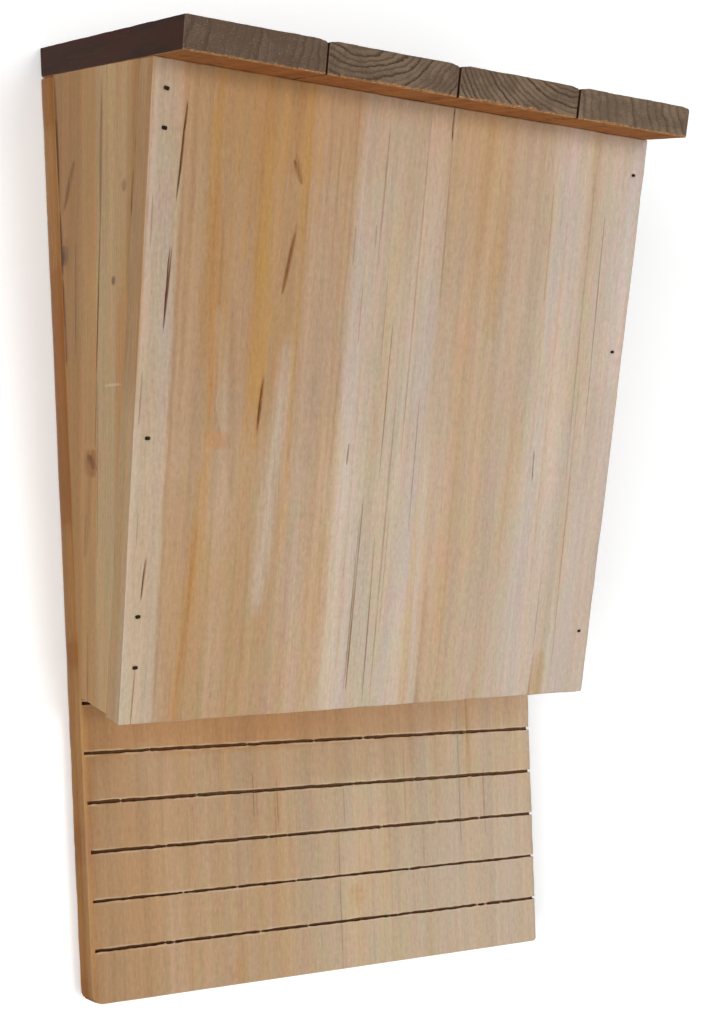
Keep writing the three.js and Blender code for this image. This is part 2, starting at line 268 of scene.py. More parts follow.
def make_piece(name, places, quads, node, values=None, caps=()):
    """Caps are rings of points, each closed by one flat face."""
    if volume_of(places, quads) < 0:
        quads, caps = quads[:, ::-1], [ring[::-1] for ring in caps]
    corners = np.concatenate([quads.ravel(), *caps]).astype(np.int32)
    sizes = np.concatenate([np.full(len(quads), 4), [len(ring) for ring in caps]]).astype(np.int32)
    mesh = bpy.data.meshes.new(name)
    mesh.vertices.add(len(places))
    mesh.vertices.foreach_set("co", places.astype(np.float32).ravel())
    mesh.loops.add(len(corners))
    mesh.loops.foreach_set("vertex_index", corners)
    mesh.polygons.add(len(sizes))
    mesh.polygons.foreach_set("loop_start", np.cumsum(sizes, dtype=np.int32) - sizes)
    mesh.polygons.foreach_set("use_smooth", np.ones(len(sizes), bool))
    mesh.update(calc_edges=True)
    mesh.set_sharp_from_angle(angle=SHARP_ANGLE)
    for key, value in (values or {}).items():
        attribute = mesh.attributes.new(key, "FLOAT", "POINT")
        attribute.data.foreach_set("value", np.broadcast_to(value, len(places)).astype(np.float32))
    piece = bpy.data.objects.new(name, mesh)
    bpy.context.scene.collection.objects.link(piece)
    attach(piece, "root")
    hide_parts(node)
    print(f"{name}: {len(places)} points, {2 * len(quads)} triangles")
    return piece


# %% [markdown]
# ## Where the nails go
# Each panel's wood is crushed a little round a driven nail, so the boards need the nails' places before
# they are made. A nail is given by its head's middle and the direction it was driven in.

# %% Nail places
NAIL_INSET = 5
FRONT_NAIL_X = WIDTH / 2 - NAIL_INSET
LEFT_NAILS = np.array([0.094, 0.176, 0.454, 0.905, 0.96]) * PANEL_LENGTH
RIGHT_NAILS = np.array([0.134, 0.64, 0.94]) * PANEL_LENGTH
NAIL_PROUD, NAIL_SINK = 0.2, 0.4
SIDE_FOOT = front_up(FRONT_THICKNESS, SIDE_FOOT_RISE)
SIDE_BACK_HEIGHT = roof_under(SIDES_START, JOINT_GAP) - SIDE_FOOT
BACK_NAILS = SIDE_FOOT + np.array([0.2, 0.5, 0.8]) * SIDE_BACK_HEIGHT
ROOF_BACK_OUT = 0.7 * BACK_THICKNESS
ROOF_FRONT_OUT = front_out(FRONT_THICKNESS / 2, front_length(FRONT_THICKNESS / 2, 0))
ROOF_SIDE_OUT = SIDES_START + 0.45 * (ROOF_FRONT_OUT - SIDES_START)
PLANK_MIDDLES = ((np.arange(PLANK_COUNT) + 0.5) / PLANK_COUNT - 0.5) * WIDTH
NAIL_LINES = np.array([-2.2, -1.6, -1.2, -0.9, -0.5, 0, 0.5, 0.9, 1.2, 1.6, 2.2])
DENT_RADIUS, DENT_DEPTH = 1.0, 0.3


def dents(u, w, nails):
    """Depth of the crushed wood round nails at (u, w): a bell that is one at each nail's middle."""
    depth = np.zeros(len(u))
    for nail_u, nail_w in nails:
        depth = np.maximum(depth, np.exp(-((u - nail_u) ** 2 + (w - nail_w) ** 2) / DENT_RADIUS**2))
    return depth


def around(places, offsets):
    return np.add.outer(np.asarray(places, float), offsets).ravel()


print("front nails, mm along the panel:", LEFT_NAILS.round(1), RIGHT_NAILS.round(1))


# %% [markdown]
# ## Back board
# One sawn board, longer than the box. Below the front panel its face is the landing, where six saw kerfs
# give the bats a grip. The saw tore the fibres, so each kerf's lips wander, and here and there a splinter
# bridges it. The kerfs are cut by pressing the lines inside each one back to its floor. The foot's
# corners are rounded, and the rear has a recess for the hanger plate with a pocket behind its keyhole.

# %% Back board: lines
LIP, LIP_RIM = 0.5, 0.06
LIP_REACH, KERF_REACH = 1.1, 8  # how far from a lip, and from a kerf's middle, the board's face follows it
LIP_OFFSETS = np.array([-2.2, -1.4, -0.9, -LIP - LIP_RIM, -LIP, -0.3, 0,
                        0.3, LIP, LIP + LIP_RIM, 0.9, 1.4, 2.2])
KERF_MIDDLES = LOWEST_KERF + KERF_PITCH * np.arange(KERF_COUNT)
BREAKS = [  # where a splinter bridges each kerf, lowest first
    (-69, -65.5, -50, -30, -9.5, 27, 31, 69, 73, 81), (-61, -39, -14, 37), (-67, -25, -17, 25, 51, 71.5),
    (-84, -54, 13, 41), (-72, -32.5, -4, 18, 66), (-70, 12)]
BREAK_HALF = 0.26
BREAK_OFFSETS = np.array([-0.5, -0.22, 0, 0.22, 0.5])
PLATE_UP, PLATE_WIDTH, PLATE_HEIGHT, PLATE_RADIUS = 290.0, 52.0, 26.0, 4.0
RECESS_DEPTH, POCKET_DEPTH, FIT = 2.2, 6.0, 0.3
POCKET_HALF, POCKET_UP, POCKET_RADIUS = (6.5, 11.0), 290.5, 4.5
TOP_START = 300  # the board's top is cut to the roof's slope from here up
WALL_LINES = np.array([-0.18, 0, 0.18])
recess_half = (PLATE_WIDTH / 2 + FIT, PLATE_HEIGHT / 2 + FIT)
recess_x = around([-recess_half[0], recess_half[0], -POCKET_HALF[0], POCKET_HALF[0]], WALL_LINES)
recess_up = around([PLATE_UP - recess_half[1], PLATE_UP + recess_half[1]], WALL_LINES)
pocket_up = around([POCKET_UP - POCKET_HALF[1], POCKET_UP + POCKET_HALF[1]], WALL_LINES)
recess_corner = np.array([-3.6, -2.7, -1.8, -1.1, -0.5])
recess_x = np.concatenate([recess_x, recess_half[0] + recess_corner, -recess_half[0] - recess_corner])
recess_up = np.concatenate([recess_up, PLATE_UP + recess_half[1] + recess_corner,
                            PLATE_UP - recess_half[1] - recess_corner])
board_x = lines(-WIDTH / 2, WIDTH / 2, 1.9, around(np.concatenate(BREAKS), BREAK_OFFSETS), recess_x,
                [-94.2, -95.2, 94.2, 95.2])
board_top = roof_under(0, JOINT_GAP)
landing_top = KERF_MIDDLES[-1] + 6
landing_lines = np.arange(3, landing_top, 3.4)
far_lines = np.linspace(landing_top, board_top, 24)
kerf_lines = around(KERF_MIDDLES, LIP_OFFSETS)
landing_lines = landing_lines[np.abs(landing_lines[:, None] - KERF_MIDDLES).min(1) > 3.2]
board_up = lines(0, board_top, board_top, kerf_lines, landing_lines, far_lines, recess_up, pocket_up)
board_out = np.array([0, 0.25, 0.7, 3, 6, 9, 11.3, 11.75, 12.0])
print("back board lines:", len(board_x), len(board_out), len(board_up))

# %% Back board: kerfs, foot corners and recess


def kerf_lips(x, kerf):
    """How far the lower and upper lips of a kerf move at x: a fine and a coarse wander, and at each
    splinter both lips close in."""
    lower = 0.15 * wander(x, 30 + kerf, 1.9) + 0.08 * wander(x, 40 + kerf, 9)
    upper = 0.15 * wander(x, 50 + kerf, 2.1) + 0.08 * wander(x, 60 + kerf, 12)
    bells = np.exp(-((x[:, None] - np.array(BREAKS[kerf])) / BREAK_HALF) ** 2)
    strength = np.random.default_rng(20 + kerf).uniform(0.5, 1.0, len(BREAKS[kerf]))
    closing = (bells * strength).max(1)
    spread = KERF_SEEN[kerf] / 2 - LIP - 0.5 * closing
    return lower - spread, upper + spread, closing


def rounded_box_distance(x, z, half, radius):
    """Signed distance to a rectangle with round corners, below zero inside."""
    a, b = np.abs(x) - half[0] + radius, np.abs(z) - half[1] + radius
    return np.hypot(np.maximum(a, 0), np.maximum(b, 0)) + np.minimum(np.maximum(a, b), 0) - radius


def inside(distance, soft=0.15):
    """One well inside, zero well outside, eased across the edge."""
    return eased(np.clip(0.5 - distance / (2 * soft), 0, 1))


points, quads = block(board_x, board_out, board_up)
u, v, w = points.T
worn = 0.55 + 0.3 * wander(w, 3, 9) + 0.2 * wander(u, 4, 14) + 0.25 * wander(w + v, 5, 2.5) + 0.7 * (u < -95)
x, out, up = wear_arrises(points, np.clip(worn, 0.15, 1.8)).T
face = v == BACK_THICKNESS
soot, splinter, fibre = np.zeros((3, len(points)))
for kerf, middle in enumerate(KERF_MIDDLES):
    offset = w - middle
    far = np.abs(offset)
    lower, upper, closing = kerf_lips(u, kerf)
    up = up + lower * np.clip(1 - np.abs(offset + LIP + LIP_RIM / 2) / LIP_REACH, 0, 1)
    up = up + upper * np.clip(1 - np.abs(offset - LIP - LIP_RIM / 2) / LIP_REACH, 0, 1)
    up = up - KERF_FALL * u / WIDTH * np.clip(1 - far / KERF_REACH, 0, 1)
    within = far < LIP + LIP_RIM / 2
    begun = np.clip((u - KERF_STARTS[kerf]) / 0.5, 0, 1)
    depth = KERF_DEPTH * (1 - 0.6 * closing * (far < 0.4)) * (1 + 0.15 * wander(u, 75, 20)) * begun
    out = np.where(within, out * (BACK_THICKNESS - depth) / BACK_THICKNESS, out)
    lip = (np.abs(far - LIP - LIP_RIM) < 0.02) & face
    out = np.where(lip, out - begun * (0.06 + 0.05 * wander(u, 80 + kerf, 1.9)), out)
    # painted shade: the face inside each kerf is marked here to be painted dark brown
    soot = np.where(within & face, begun, soot)
    # a pale band just outside each kerf's lips: torn fibres and a painted highlight along the lips
    raised = np.clip(0.6 + 0.9 * wander(u, 130 + kerf, 5) * np.sign(offset), 0, 1)
    fibre = np.maximum(fibre, raised * ((far > 0.55) & (far < 1.0)) * face * begun)
    splinter = np.maximum(splinter, closing * (far < LIP + 0.3) * face)

radius = np.where(x < 0, LEFT_FOOT_RADIUS, RIGHT_FOOT_RADIUS)
off_x = x - np.clip(x, -WIDTH / 2 + LEFT_FOOT_RADIUS, WIDTH / 2 - RIGHT_FOOT_RADIUS)
off_up = np.minimum(up - radius, 0)
share = np.where(off_up < 0, roundness(off_x, off_up), 1)
x, up = x - off_x * (1 - share), up - off_up * (1 - share)

rear = v == 0
recess = RECESS_DEPTH * inside(rounded_box_distance(x, up - PLATE_UP, recess_half, PLATE_RADIUS + FIT))
pocket = POCKET_DEPTH * inside(rounded_box_distance(x, up - POCKET_UP, POCKET_HALF, POCKET_RADIUS))
rear_dents = dents(x, up, [(side * SIDE_MIDDLE, nail) for side in (-1, 1) for nail in BACK_NAILS])
out = np.where(rear, np.maximum(recess, pocket) + (NAIL_SINK + 0.1) * rear_dents, out)
top_share = np.clip((w - TOP_START) / (board_top - TOP_START), 0, 1)
up = up + ((JOINT_GAP - JOINT_SEEN) / math.cos(SLOPE) - math.tan(SLOPE) * out) * top_share
back_board = make_piece(
    "back_board_wood", in_frame(x, out, up), quads, "back_board",
    {"edge": arris_distance(points), "soot": soot, "splinter": splinter, "fibre": fibre,
     "dent": rear_dents * rear, "flank": np.abs(u) == WIDTH / 2, "endgrain": (w == 0) | (w == board_top)})

# %% [markdown]
# ## Front panel
# A wide panel that leans out towards its top, nailed over the side panels' front edges. Its foot was sawn
# a little out of level. Long cracks follow the grain near its left edge. Each crack is a row of close
# lines that are drawn onto its path and pressed in along a lens shape.

# %% Front panel
CRACKS = [  # across and along at each end, half width, depth, darkness
    (-85.8, 199, -87.7, 170, 0.4, 0.5, 1.0),
    (-88.6, 155.5, -89.3, 130, 0.42, 0.5, 1.0),
    (-90.9, 57, -92.2, 42, 0.32, 0.4, 0.9),
    (-52.6, 116, -53.7, 100, 0.46, 0.4, 0.85),
    (-44.7, 164, -47.9, 145, 0.45, 0.2, 0.6),
    (12.8, 211, 12.9, 200, 0.3, 0.4, 0.9),
    (61.8, 97, 62.5, 86, 0.26, 0.3, 0.75),
]
CRACK_REACH = 5  # how far from a crack the lines are drawn towards its path
CRACK_LINES = np.array([-1.1, -0.6, -0.34, -0.16, 0, 0.16, 0.34, 0.6, 1.1])
crack_x = np.array([(c[0] + c[2]) / 2 for c in CRACKS])
front_nails = [(-FRONT_NAIL_X, n) for n in LEFT_NAILS] + [(FRONT_NAIL_X, n) for n in RIGHT_NAILS]
nail_along = np.array([(n - foot_rise(x)) / (1 - foot_rise(x) / PANEL_LENGTH) for x, n in front_nails])
panel_x = lines(-WIDTH / 2, WIDTH / 2, 2.0, around(crack_x, CRACK_LINES),
                around([-FRONT_NAIL_X, FRONT_NAIL_X], NAIL_LINES))
panel_along = lines(0, PANEL_LENGTH, 2.6, around(nail_along, NAIL_LINES))
panel_depth = np.array([0, 0.2, 0.5, 1.2, 3.6, 7.4, 9.8, 10.5, 10.8, 11.0])
points, quads = block(panel_x, panel_depth, panel_along)
u, v, w = points.T
worn = 0.5 + 0.25 * wander(w, 11, 12) + 0.25 * wander(u, 12, 9) + 0.2 * wander(w + u, 13, 2.7)
x, depth, along = wear_arrises(points, np.clip(worn, 0.12, 1.0)).T
foot = foot_rise(u) + 0.1 + 0.1 * wander(u, 18, 6)
along = stretch(along, 0, PANEL_LENGTH, foot, front_length(v, JOINT_SEEN))
groove, crack = np.zeros((2, len(points)))
for x_top, top, x_foot, foot, half, deep, dark in CRACKS:
    middle, half_length = (x_top + x_foot) / 2, (top - foot) / 2
    off = np.abs(u - middle)
    reach = np.clip((along - (top + foot) / 2) / half_length, -1.3, 1.3)
    path = (x_top - x_foot) / (top - foot) * reach * half_length + 0.12 * wander(along, 90 + int(top), 5)
    x = x + path * np.clip(1 - off / CRACK_REACH, 0, 1)
    lens = np.clip(1 - reach**2, 0, 1) ** 0.3
    pressed = deep * lens * np.clip(1 - off / (1.4 * half * lens + 1e-6), 0, 1)
    groove = np.maximum(groove, pressed)
    # painted shade inside the crack, stronger where the groove is pressed deeper
    shade = dark * np.clip(pressed / (0.5 * deep), 0, 1)
    crack = np.maximum(crack, shade * (0.85 + 0.3 * wander(along, 95, 1.7)))
front_dents = dents(x, along, front_nails)
saw_wave = 0.06 * patches(u, w, 15, 17, 60)
depth = np.where(v == 0, depth + groove + DENT_DEPTH * front_dents + 0.06 + saw_wave, depth)
x = x - np.sign(x) * (0.12 + 0.12 * wander(w, 17, 26)) * (np.abs(u) > 96)
front_panel = make_piece(
    "front_panel_wood", in_frame(x, front_out(depth, along), front_up(depth, along)), quads,
    "front_panel",
    {"edge": arris_distance(points), "soot": np.clip(crack, 0, 1), "splinter": 0,
     "dent": front_dents * (v == 0), "flank": np.abs(u) == WIDTH / 2,
     "endgrain": (w == 0) | (w == PANEL_LENGTH)})

# %% [markdown]
# ## Side panels
# Two tapered boards between the back board and the front panel, wide at the top and narrow at the foot.
# One block serves both: its square side is laid over the four corners of the panel, and near each border
# true distances are kept, so that an arris is as worn at the foot as at the top.

# %% Side panels
SIDE_SPAN, SIDE_LENGTH = 60.0, 200.0


def side_corners(middle):
    """Out and up of the panel's corners: foot at the back, foot at the front, top front, top back."""
    depth = FRONT_THICKNESS + JOINT_GAP
    rise = SIDE_FOOT_RISE + foot_rise(middle)
    back = (FRONT_FOOT_OUT + rise * math.sin(LEAN) - SIDES_START) / math.cos(LEAN)
    top = front_length(depth, JOINT_SEEN)
    return np.array([(front_out(back, rise), front_up(back, rise)),
                     (front_out(depth, rise), front_up(depth, rise)),
                     (front_out(depth, top), front_up(depth, top)),
                     (SIDES_START, roof_under(SIDES_START, JOINT_SEEN))])


def side_panel(node, middle, seed):
    points, quads = block(lines(0, SIDE_THICKNESS, 2.5), lines(0, SIDE_SPAN, 1.6), lines(0, SIDE_LENGTH, 2.4))
    u, v, w = points.T
    worn = 0.45 + 0.25 * wander(w, seed, 13) + 0.2 * wander(v + w, seed + 1, 3)
    thick, span, run = wear_arrises(points, np.clip(worn, 0.12, 0.9)).T
    a, b, c, d = side_corners(middle)
    low, high = v / SIDE_SPAN, w / SIDE_LENGTH
    width = (1 - high) * np.linalg.norm(b - a) + high * np.linalg.norm(c - d)
    length = (1 - low) * np.linalg.norm(d - a) + low * np.linalg.norm(c - b)
    s = (stretch(span, 0, SIDE_SPAN, 0, width) / width)[:, None]
    t = (stretch(run, 0, SIDE_LENGTH, 0, length) / length)[:, None]
    out, up = ((1 - s) * (1 - t) * a + s * (1 - t) * b + s * t * c + (1 - s) * t * d).T
    faces = np.where(u == 0, 1, 0) - np.where(u == SIDE_THICKNESS, 1, 0)
    thick = thick + faces * (0.05 + 0.05 * patches(v, w, seed + 2, 15, 50))
    x = middle + (thick - SIDE_THICKNESS / 2)
    return make_piece(f"{node}_wood", in_frame(x, out, up), quads, node,
                      {"edge": arris_distance(points), "soot": 0, "splinter": 0, "dent": 0, "flank": 0,
                       "endgrain": (w == 0) | (w == SIDE_LENGTH)})


left_side = side_panel("left_side", -SIDE_MIDDLE, 201)
right_side = side_panel("right_side", SIDE_MIDDLE, 211)

# %% [markdown]
# ## Roof planks
# Four planks run from the wall to the front, their long top edges eased. Weather has raised the hard
# latewood in fine ridges, on the end grain too, where the growth rings show as arcs. The rings are
# circles round the tree's pith, so each point's distance from a pith line gives both the ridges here
# and the ring colours later.

# %% Roof planks
PITHS = [(-70, 14), (-12, 33), (22, 36), (62, 26)]  # across and above, from each plank's middle and underside
RING_SPACING = [2.9, 1.9, 1.7, 3.4]
RING_SHOW = [0.75, 1.0, 1.15, 0.55]
DULL = [0.48, 0.1, 0.0, 0.0]
PLANK_WIDTH = WIDTH / PLANK_COUNT - PLANK_GAP


def ease_top_edges(across, height, number):
    """The long top edges become part of an ellipse, as the arrises do, with a width and a drop. The
    first plank's outer edge is eased less."""
    half = PLANK_WIDTH / 2
    first = (number == 0) & (across < 0)
    width = np.where(first, FIRST_EDGE_WIDTH, PLANK_EDGE_WIDTH)
    drop = np.where(first, FIRST_EDGE_DROP, PLANK_EDGE_DROP)
    off_x = across - np.clip(across, width - half, half - width)
    off_z = np.maximum(height - (PLANK_THICKNESS - drop), 0)
    share = np.where(off_z > 0, roundness(off_x / width, off_z / drop), 1)
    return across - off_x * (1 - share), height - off_z * (1 - share)


def roof_plank(number):
    seed = 300 + 20 * number
    half = PLANK_WIDTH / 2
    nails = [(0, ROOF_BACK_OUT), (0, ROOF_FRONT_OUT)]
    side = {0: -SIDE_MIDDLE, PLANK_COUNT - 1: SIDE_MIDDLE}.get(number)
    if side is not None:
        nails.append((side - PLANK_MIDDLES[number], ROOF_SIDE_OUT))
    nails = [(u, out / math.cos(SLOPE)) for u, out in nails]
    us = lines(-half, half, 0.62, [-half + 3, half - 3])
    ws = lines(0, PLANK_RUN, 2.2, around([w for _, w in nails], NAIL_LINES[1:-1]))
    vs = lines(0, PLANK_THICKNESS, 0.62)
    points, quads = block(us, vs, ws)
    edge = arris_distance(points)
    u, v, w = points.T
    pith_u, pith_v = PITHS[number]
    sway = 1.4 * wander(w, seed, 70) + 0.012 * w
    rings = np.hypot(u + sway - pith_u, v - pith_v) + 0.7 * patches(u, v + 2 * w / 100, seed + 1, 9, 5)
    ridge = np.cos(2 * math.pi * rings / RING_SPACING[number])
    worn = 0.5 + 0.3 * wander(w + u, seed + 2, 7) + 0.15 * wander(u + w, seed + 3, 1.6)
    across, height, run = wear_arrises(points, np.clip(worn, 0.15, 1.0)).T
    top, front = v == PLANK_THICKNESS, w == PLANK_RUN
    weather = 0.1 * ridge + 0.1 * patches(u, w, seed + 4, 1.1, 45)
    height = height - top * (0.22 + weather * np.clip(edge / 1.5, 0, 1))
    run = run - front * (0.14 + 0.11 * RING_SHOW[number] * ridge * np.clip(edge / 0.8, 0, 1))
    torn = 0.45 * wander(u, seed + 5, 0.9) + 0.45 * wander(u, seed + 7, 3.5) + 0.35 * wander(u, seed + 8, 13)
    torn = np.clip(torn, 0, 1)
    run = run - 0.8 * torn * (w > PLANK_RUN - 0.6) * (v < 0.3)
    dent = dents(u, w, nails) * top
    height = height - 0.4 * dent
    across, height = ease_top_edges(across, height, number)
    across = across * (1 - 0.002 - 0.002 * wander(w, seed + 6, 30))
    run = stretch(run, 0, PLANK_RUN, -height * math.tan(SLOPE), PLANK_RUN)
    x = PLANK_MIDDLES[number] + across
    out = run * math.cos(SLOPE) + height * math.sin(SLOPE)
    up = ROOF_WALL_UP - run * math.sin(SLOPE) + height * math.cos(SLOPE)
    node = f"roof_plank_{number + 1}"
    return make_piece(
        f"{node}_wood", in_frame(x, out, up), quads, node,
        {"edge": edge, "rings": rings / RING_SPACING[number], "ring_show": RING_SHOW[number],
         "dull": DULL[number], "dent": dent, "endgrain": (w == PLANK_RUN) | (w == 0), "under": v == 0,
         "torn": torn * front, "height": v})


planks = [roof_plank(number) for number in range(PLANK_COUNT)]

# %% [markdown]
# ## Nails
# Brads with small, almost square heads, driven flush by a nail gun. A nail is turned like a spindle, but
# a section's corners are squared by a superellipse near the head and round along the shank. Each one
# replaces its own solid, in the same place.

# %% Nails
NAIL_SHANK, NAIL_LENGTH, NAIL_TIP, NAIL_STEPS = 0.65, 30.0, 2.0, 20
HEAD_END, HEAD_FLATNESS = 0.9, 0.66
NAIL_PROFILE = np.array([  # radius, distance from the head's face, squareness
    (0.3, -0.04, 5), (0.62, -0.03, 5), (0.76, 0.0, 5), (0.84, 0.07, 5), (0.87, 0.18, 5), (0.85, 0.5, 5),
    (0.8, 0.68, 2.8), (NAIL_SHANK, HEAD_END, 2.2), (NAIL_SHANK, 4, 2),
    (NAIL_SHANK, NAIL_LENGTH - NAIL_TIP, 2), (0.3, NAIL_LENGTH - 0.9, 2), (0.06, NAIL_LENGTH - 0.02, 2)])


def ring_quads(rows, steps, closed=False):
    """Quads of a grid of rows that closes in the steps' direction. Its first and last rows are its caps,
    or are joined too if it is closed."""
    grid = np.arange(rows * steps).reshape(rows, steps)
    caps = [grid[0][::-1], grid[-1]]
    grid = np.concatenate([grid, grid[:1]]) if closed else grid
    after = np.roll(grid, -1, axis=1)
    return np.stack([grid[:-1], after[:-1], after[1:], grid[1:]], -1).reshape(-1, 4), caps


def nail_surface(place, direction, size, twist, tilt):
    """A profile carried round an axis: radius by angle is the profile's radius over the norm of the
    angle's sine and cosine, with the profile's squareness as the power. The head is a little low."""
    angle = np.linspace(0, 2 * math.pi, NAIL_STEPS, endpoint=False)
    radius, far, power = (column[:, None] for column in NAIL_PROFILE.T)
    norm = (np.abs(np.cos(angle)) ** power + np.abs(np.sin(angle)) ** power) ** (-1 / power)
    head = np.where(far < HEAD_END, size, 1)
    side = radius * norm * np.cos(angle) * head
    rise = radius * norm * np.sin(angle) * head * np.where(far < HEAD_END, HEAD_FLATNESS, 1)
    ring = np.stack([side, np.broadcast_to(far, side.shape), rise], -1).reshape(-1, 3)
    ring = ring @ (turn_about("Y", twist) @ turn_about("X", tilt)).T
    axis, across = np.asarray(direction, float), np.array([1.0, 0, 0])
    quads, caps = ring_quads(len(NAIL_PROFILE), NAIL_STEPS)
    return np.asarray(place) + ring @ np.stack([across, axis, np.cross(across, axis)]), quads, caps


front_in = np.array([0, math.cos(LEAN), math.sin(LEAN)])
roof_down = np.array([0, math.sin(SLOPE), -math.cos(SLOPE)])
nails = []
chance = np.random.default_rng(12)


def add_nail(node, place, direction, size=1.0):
    places, quads, caps = nail_surface(place, direction, size, chance.uniform(-0.25, 0.25),
                                       chance.uniform(-0.02, 0.02))
    nails.append(make_piece(node.replace("nail", "brad"), places * MM, quads, node, caps=caps))


FRONT_ROWS = (("left", -FRONT_NAIL_X, LEFT_NAILS, 1.0), ("right", FRONT_NAIL_X, RIGHT_NAILS, 0.8))
for side, x, row, size in FRONT_ROWS:
    for number, along in enumerate(row):
        place = (x, -front_out(-NAIL_PROUD, along), front_up(-NAIL_PROUD, along) - WALL_POINT)
        add_nail(f"front_nail_{side}_{number + 1}", place, front_in, size)


def roof_place(x, out):
    run, height = out / math.cos(SLOPE), PLANK_THICKNESS + NAIL_PROUD
    return (x, -run * math.cos(SLOPE) - height * math.sin(SLOPE),
            ROOF_WALL_UP - run * math.sin(SLOPE) + height * math.cos(SLOPE) - WALL_POINT)


for number, x in enumerate(PLANK_MIDDLES):
    add_nail(f"roof_nail_back_{number + 1}", roof_place(x, ROOF_BACK_OUT), roof_down)
    add_nail(f"roof_nail_front_{number + 1}", roof_place(x, ROOF_FRONT_OUT), roof_down)
add_nail("roof_nail_side_1", roof_place(-SIDE_MIDDLE, ROOF_SIDE_OUT), roof_down)
add_nail("roof_nail_side_2", roof_place(SIDE_MIDDLE, ROOF_SIDE_OUT), roof_down)
for number, up in enumerate(BACK_NAILS):
    add_nail(f"back_nail_left_{number + 1}", (-SIDE_MIDDLE, -NAIL_SINK, up - WALL_POINT), (0, -1, 0))
    add_nail(f"back_nail_right_{number + 1}", (SIDE_MIDDLE, -NAIL_SINK, up - WALL_POINT), (0, -1, 0))
print("nails:", len(nails))

# %% [markdown]
# ## Hanger plate and screws
# A small zinc plate lies in the recess at the back, and its keyhole hangs over a wall screw. A flat shape
# with a hole is a ring: one parameter is the angle round it, the other goes once round its section, out
# over the face, down the edge and back below. Both outlines are read as a radius by angle, from a point
# that sees all of them. The countersinks are pressed into the ring's face, and the screws are turned.

# %% Hanger plate
PLATE_THICKNESS, PLATE_SINK, PLATE_EYE, PLATE_STEPS = 1.6, 0.3, -1.0, 240
KEYHOLE_RADIUS, KEYHOLE_DROP, SLOT_HALF, SLOT_TOP = 4.5, 4.0, 2.3, 5.0
SCREW_ACROSS, HEAD_RADIUS = 19.0, 3.6
MOUTH = math.asin(SLOT_HALF / KEYHOLE_RADIUS)
ARC_STEPS, OUTLINE_STEPS, FACE_RINGS = 40, 2000, 44


def arc(middle_x, middle_z, radius, start, stop):
    angle = np.linspace(start, stop, ARC_STEPS)
    return np.stack([middle_x + radius * np.cos(angle), middle_z + radius * np.sin(angle)], 1)


def radius_by_angle(arcs, angle):
    """The outline through the arcs, its points spaced evenly, as a distance from the eye by angle."""
    loop = np.concatenate([*arcs, arcs[0][:1]])
    run = np.append(0, np.cumsum(np.hypot(*np.diff(loop, axis=0).T)))
    even = np.linspace(0, run[-1], OUTLINE_STEPS, endpoint=False)
    x, z = np.interp(even, run, loop[:, 0]), np.interp(even, run, loop[:, 1]) - PLATE_EYE
    return np.interp(angle, np.arctan2(z, x), np.hypot(x, z), period=2 * math.pi)


angle = np.linspace(-math.pi, math.pi, PLATE_STEPS, endpoint=False)
hole = radius_by_angle([arc(0, -KEYHOLE_DROP, KEYHOLE_RADIUS, math.pi / 2 + MOUTH, 2.5 * math.pi - MOUTH),
                        arc(0, SLOT_TOP, SLOT_HALF, 0, math.pi)], angle)
corner_x, corner_z = PLATE_WIDTH / 2 - PLATE_RADIUS, PLATE_HEIGHT / 2 - PLATE_RADIUS
rim = radius_by_angle([
    arc(sx * corner_x, sz * corner_z, PLATE_RADIUS, turn * math.pi / 2, (turn + 1) * math.pi / 2)
    for turn, (sx, sz) in enumerate([(1, 1), (-1, 1), (-1, -1), (1, -1)])], angle)
face = [(share, 0, 0) for share in np.linspace(0.02, 0.98, FACE_RINGS)]
section = np.array([  # share of the way from the hole to the rim, offset from there, depth
    (0, 0, 0.2), (0, 0.05, 0.06), (0, 0.18, 0), *face, (1, -0.18, 0), (1, -0.05, 0.06), (1, 0, 0.2),
    (1, 0, PLATE_THICKNESS - 0.15), (1, -0.15, PLATE_THICKNESS), (0, 0.15, PLATE_THICKNESS),
    (0, 0, PLATE_THICKNESS - 0.15)])
share, offset, deep = (column[:, None] for column in section.T)
far = hole + share * (rim - hole) + offset
x, z = far * np.cos(angle), far * np.sin(angle) + PLATE_EYE
to_screw = np.hypot(np.abs(x) - SCREW_ACROSS, z)
deep = deep + (deep == 0) * np.clip(HEAD_RADIUS + 0.12 - to_screw, 0, PLATE_THICKNESS - 0.1)
quads, _ = ring_quads(len(section), PLATE_STEPS, closed=True)
places = in_frame(x.ravel(), (PLATE_SINK + deep).ravel(), PLATE_UP + z.ravel())
hanger = [make_piece("hanger_plate_zinc", places, quads, "hanger_plate")]

# %% Hanger screws
SCREW_STEPS, THREAD_PITCH, CORE_RADIUS, THREAD_RADIUS = 96, 1.1, 1.05, 1.58
CROSS_HALF, CROSS_DEPTH, CROSS_TURN = (1.8, 0.42), 1.0, 0.3
FACE_DEPTH, SCREW_LENGTH, POINT_LENGTH = 0.04, 9.9, 1.7


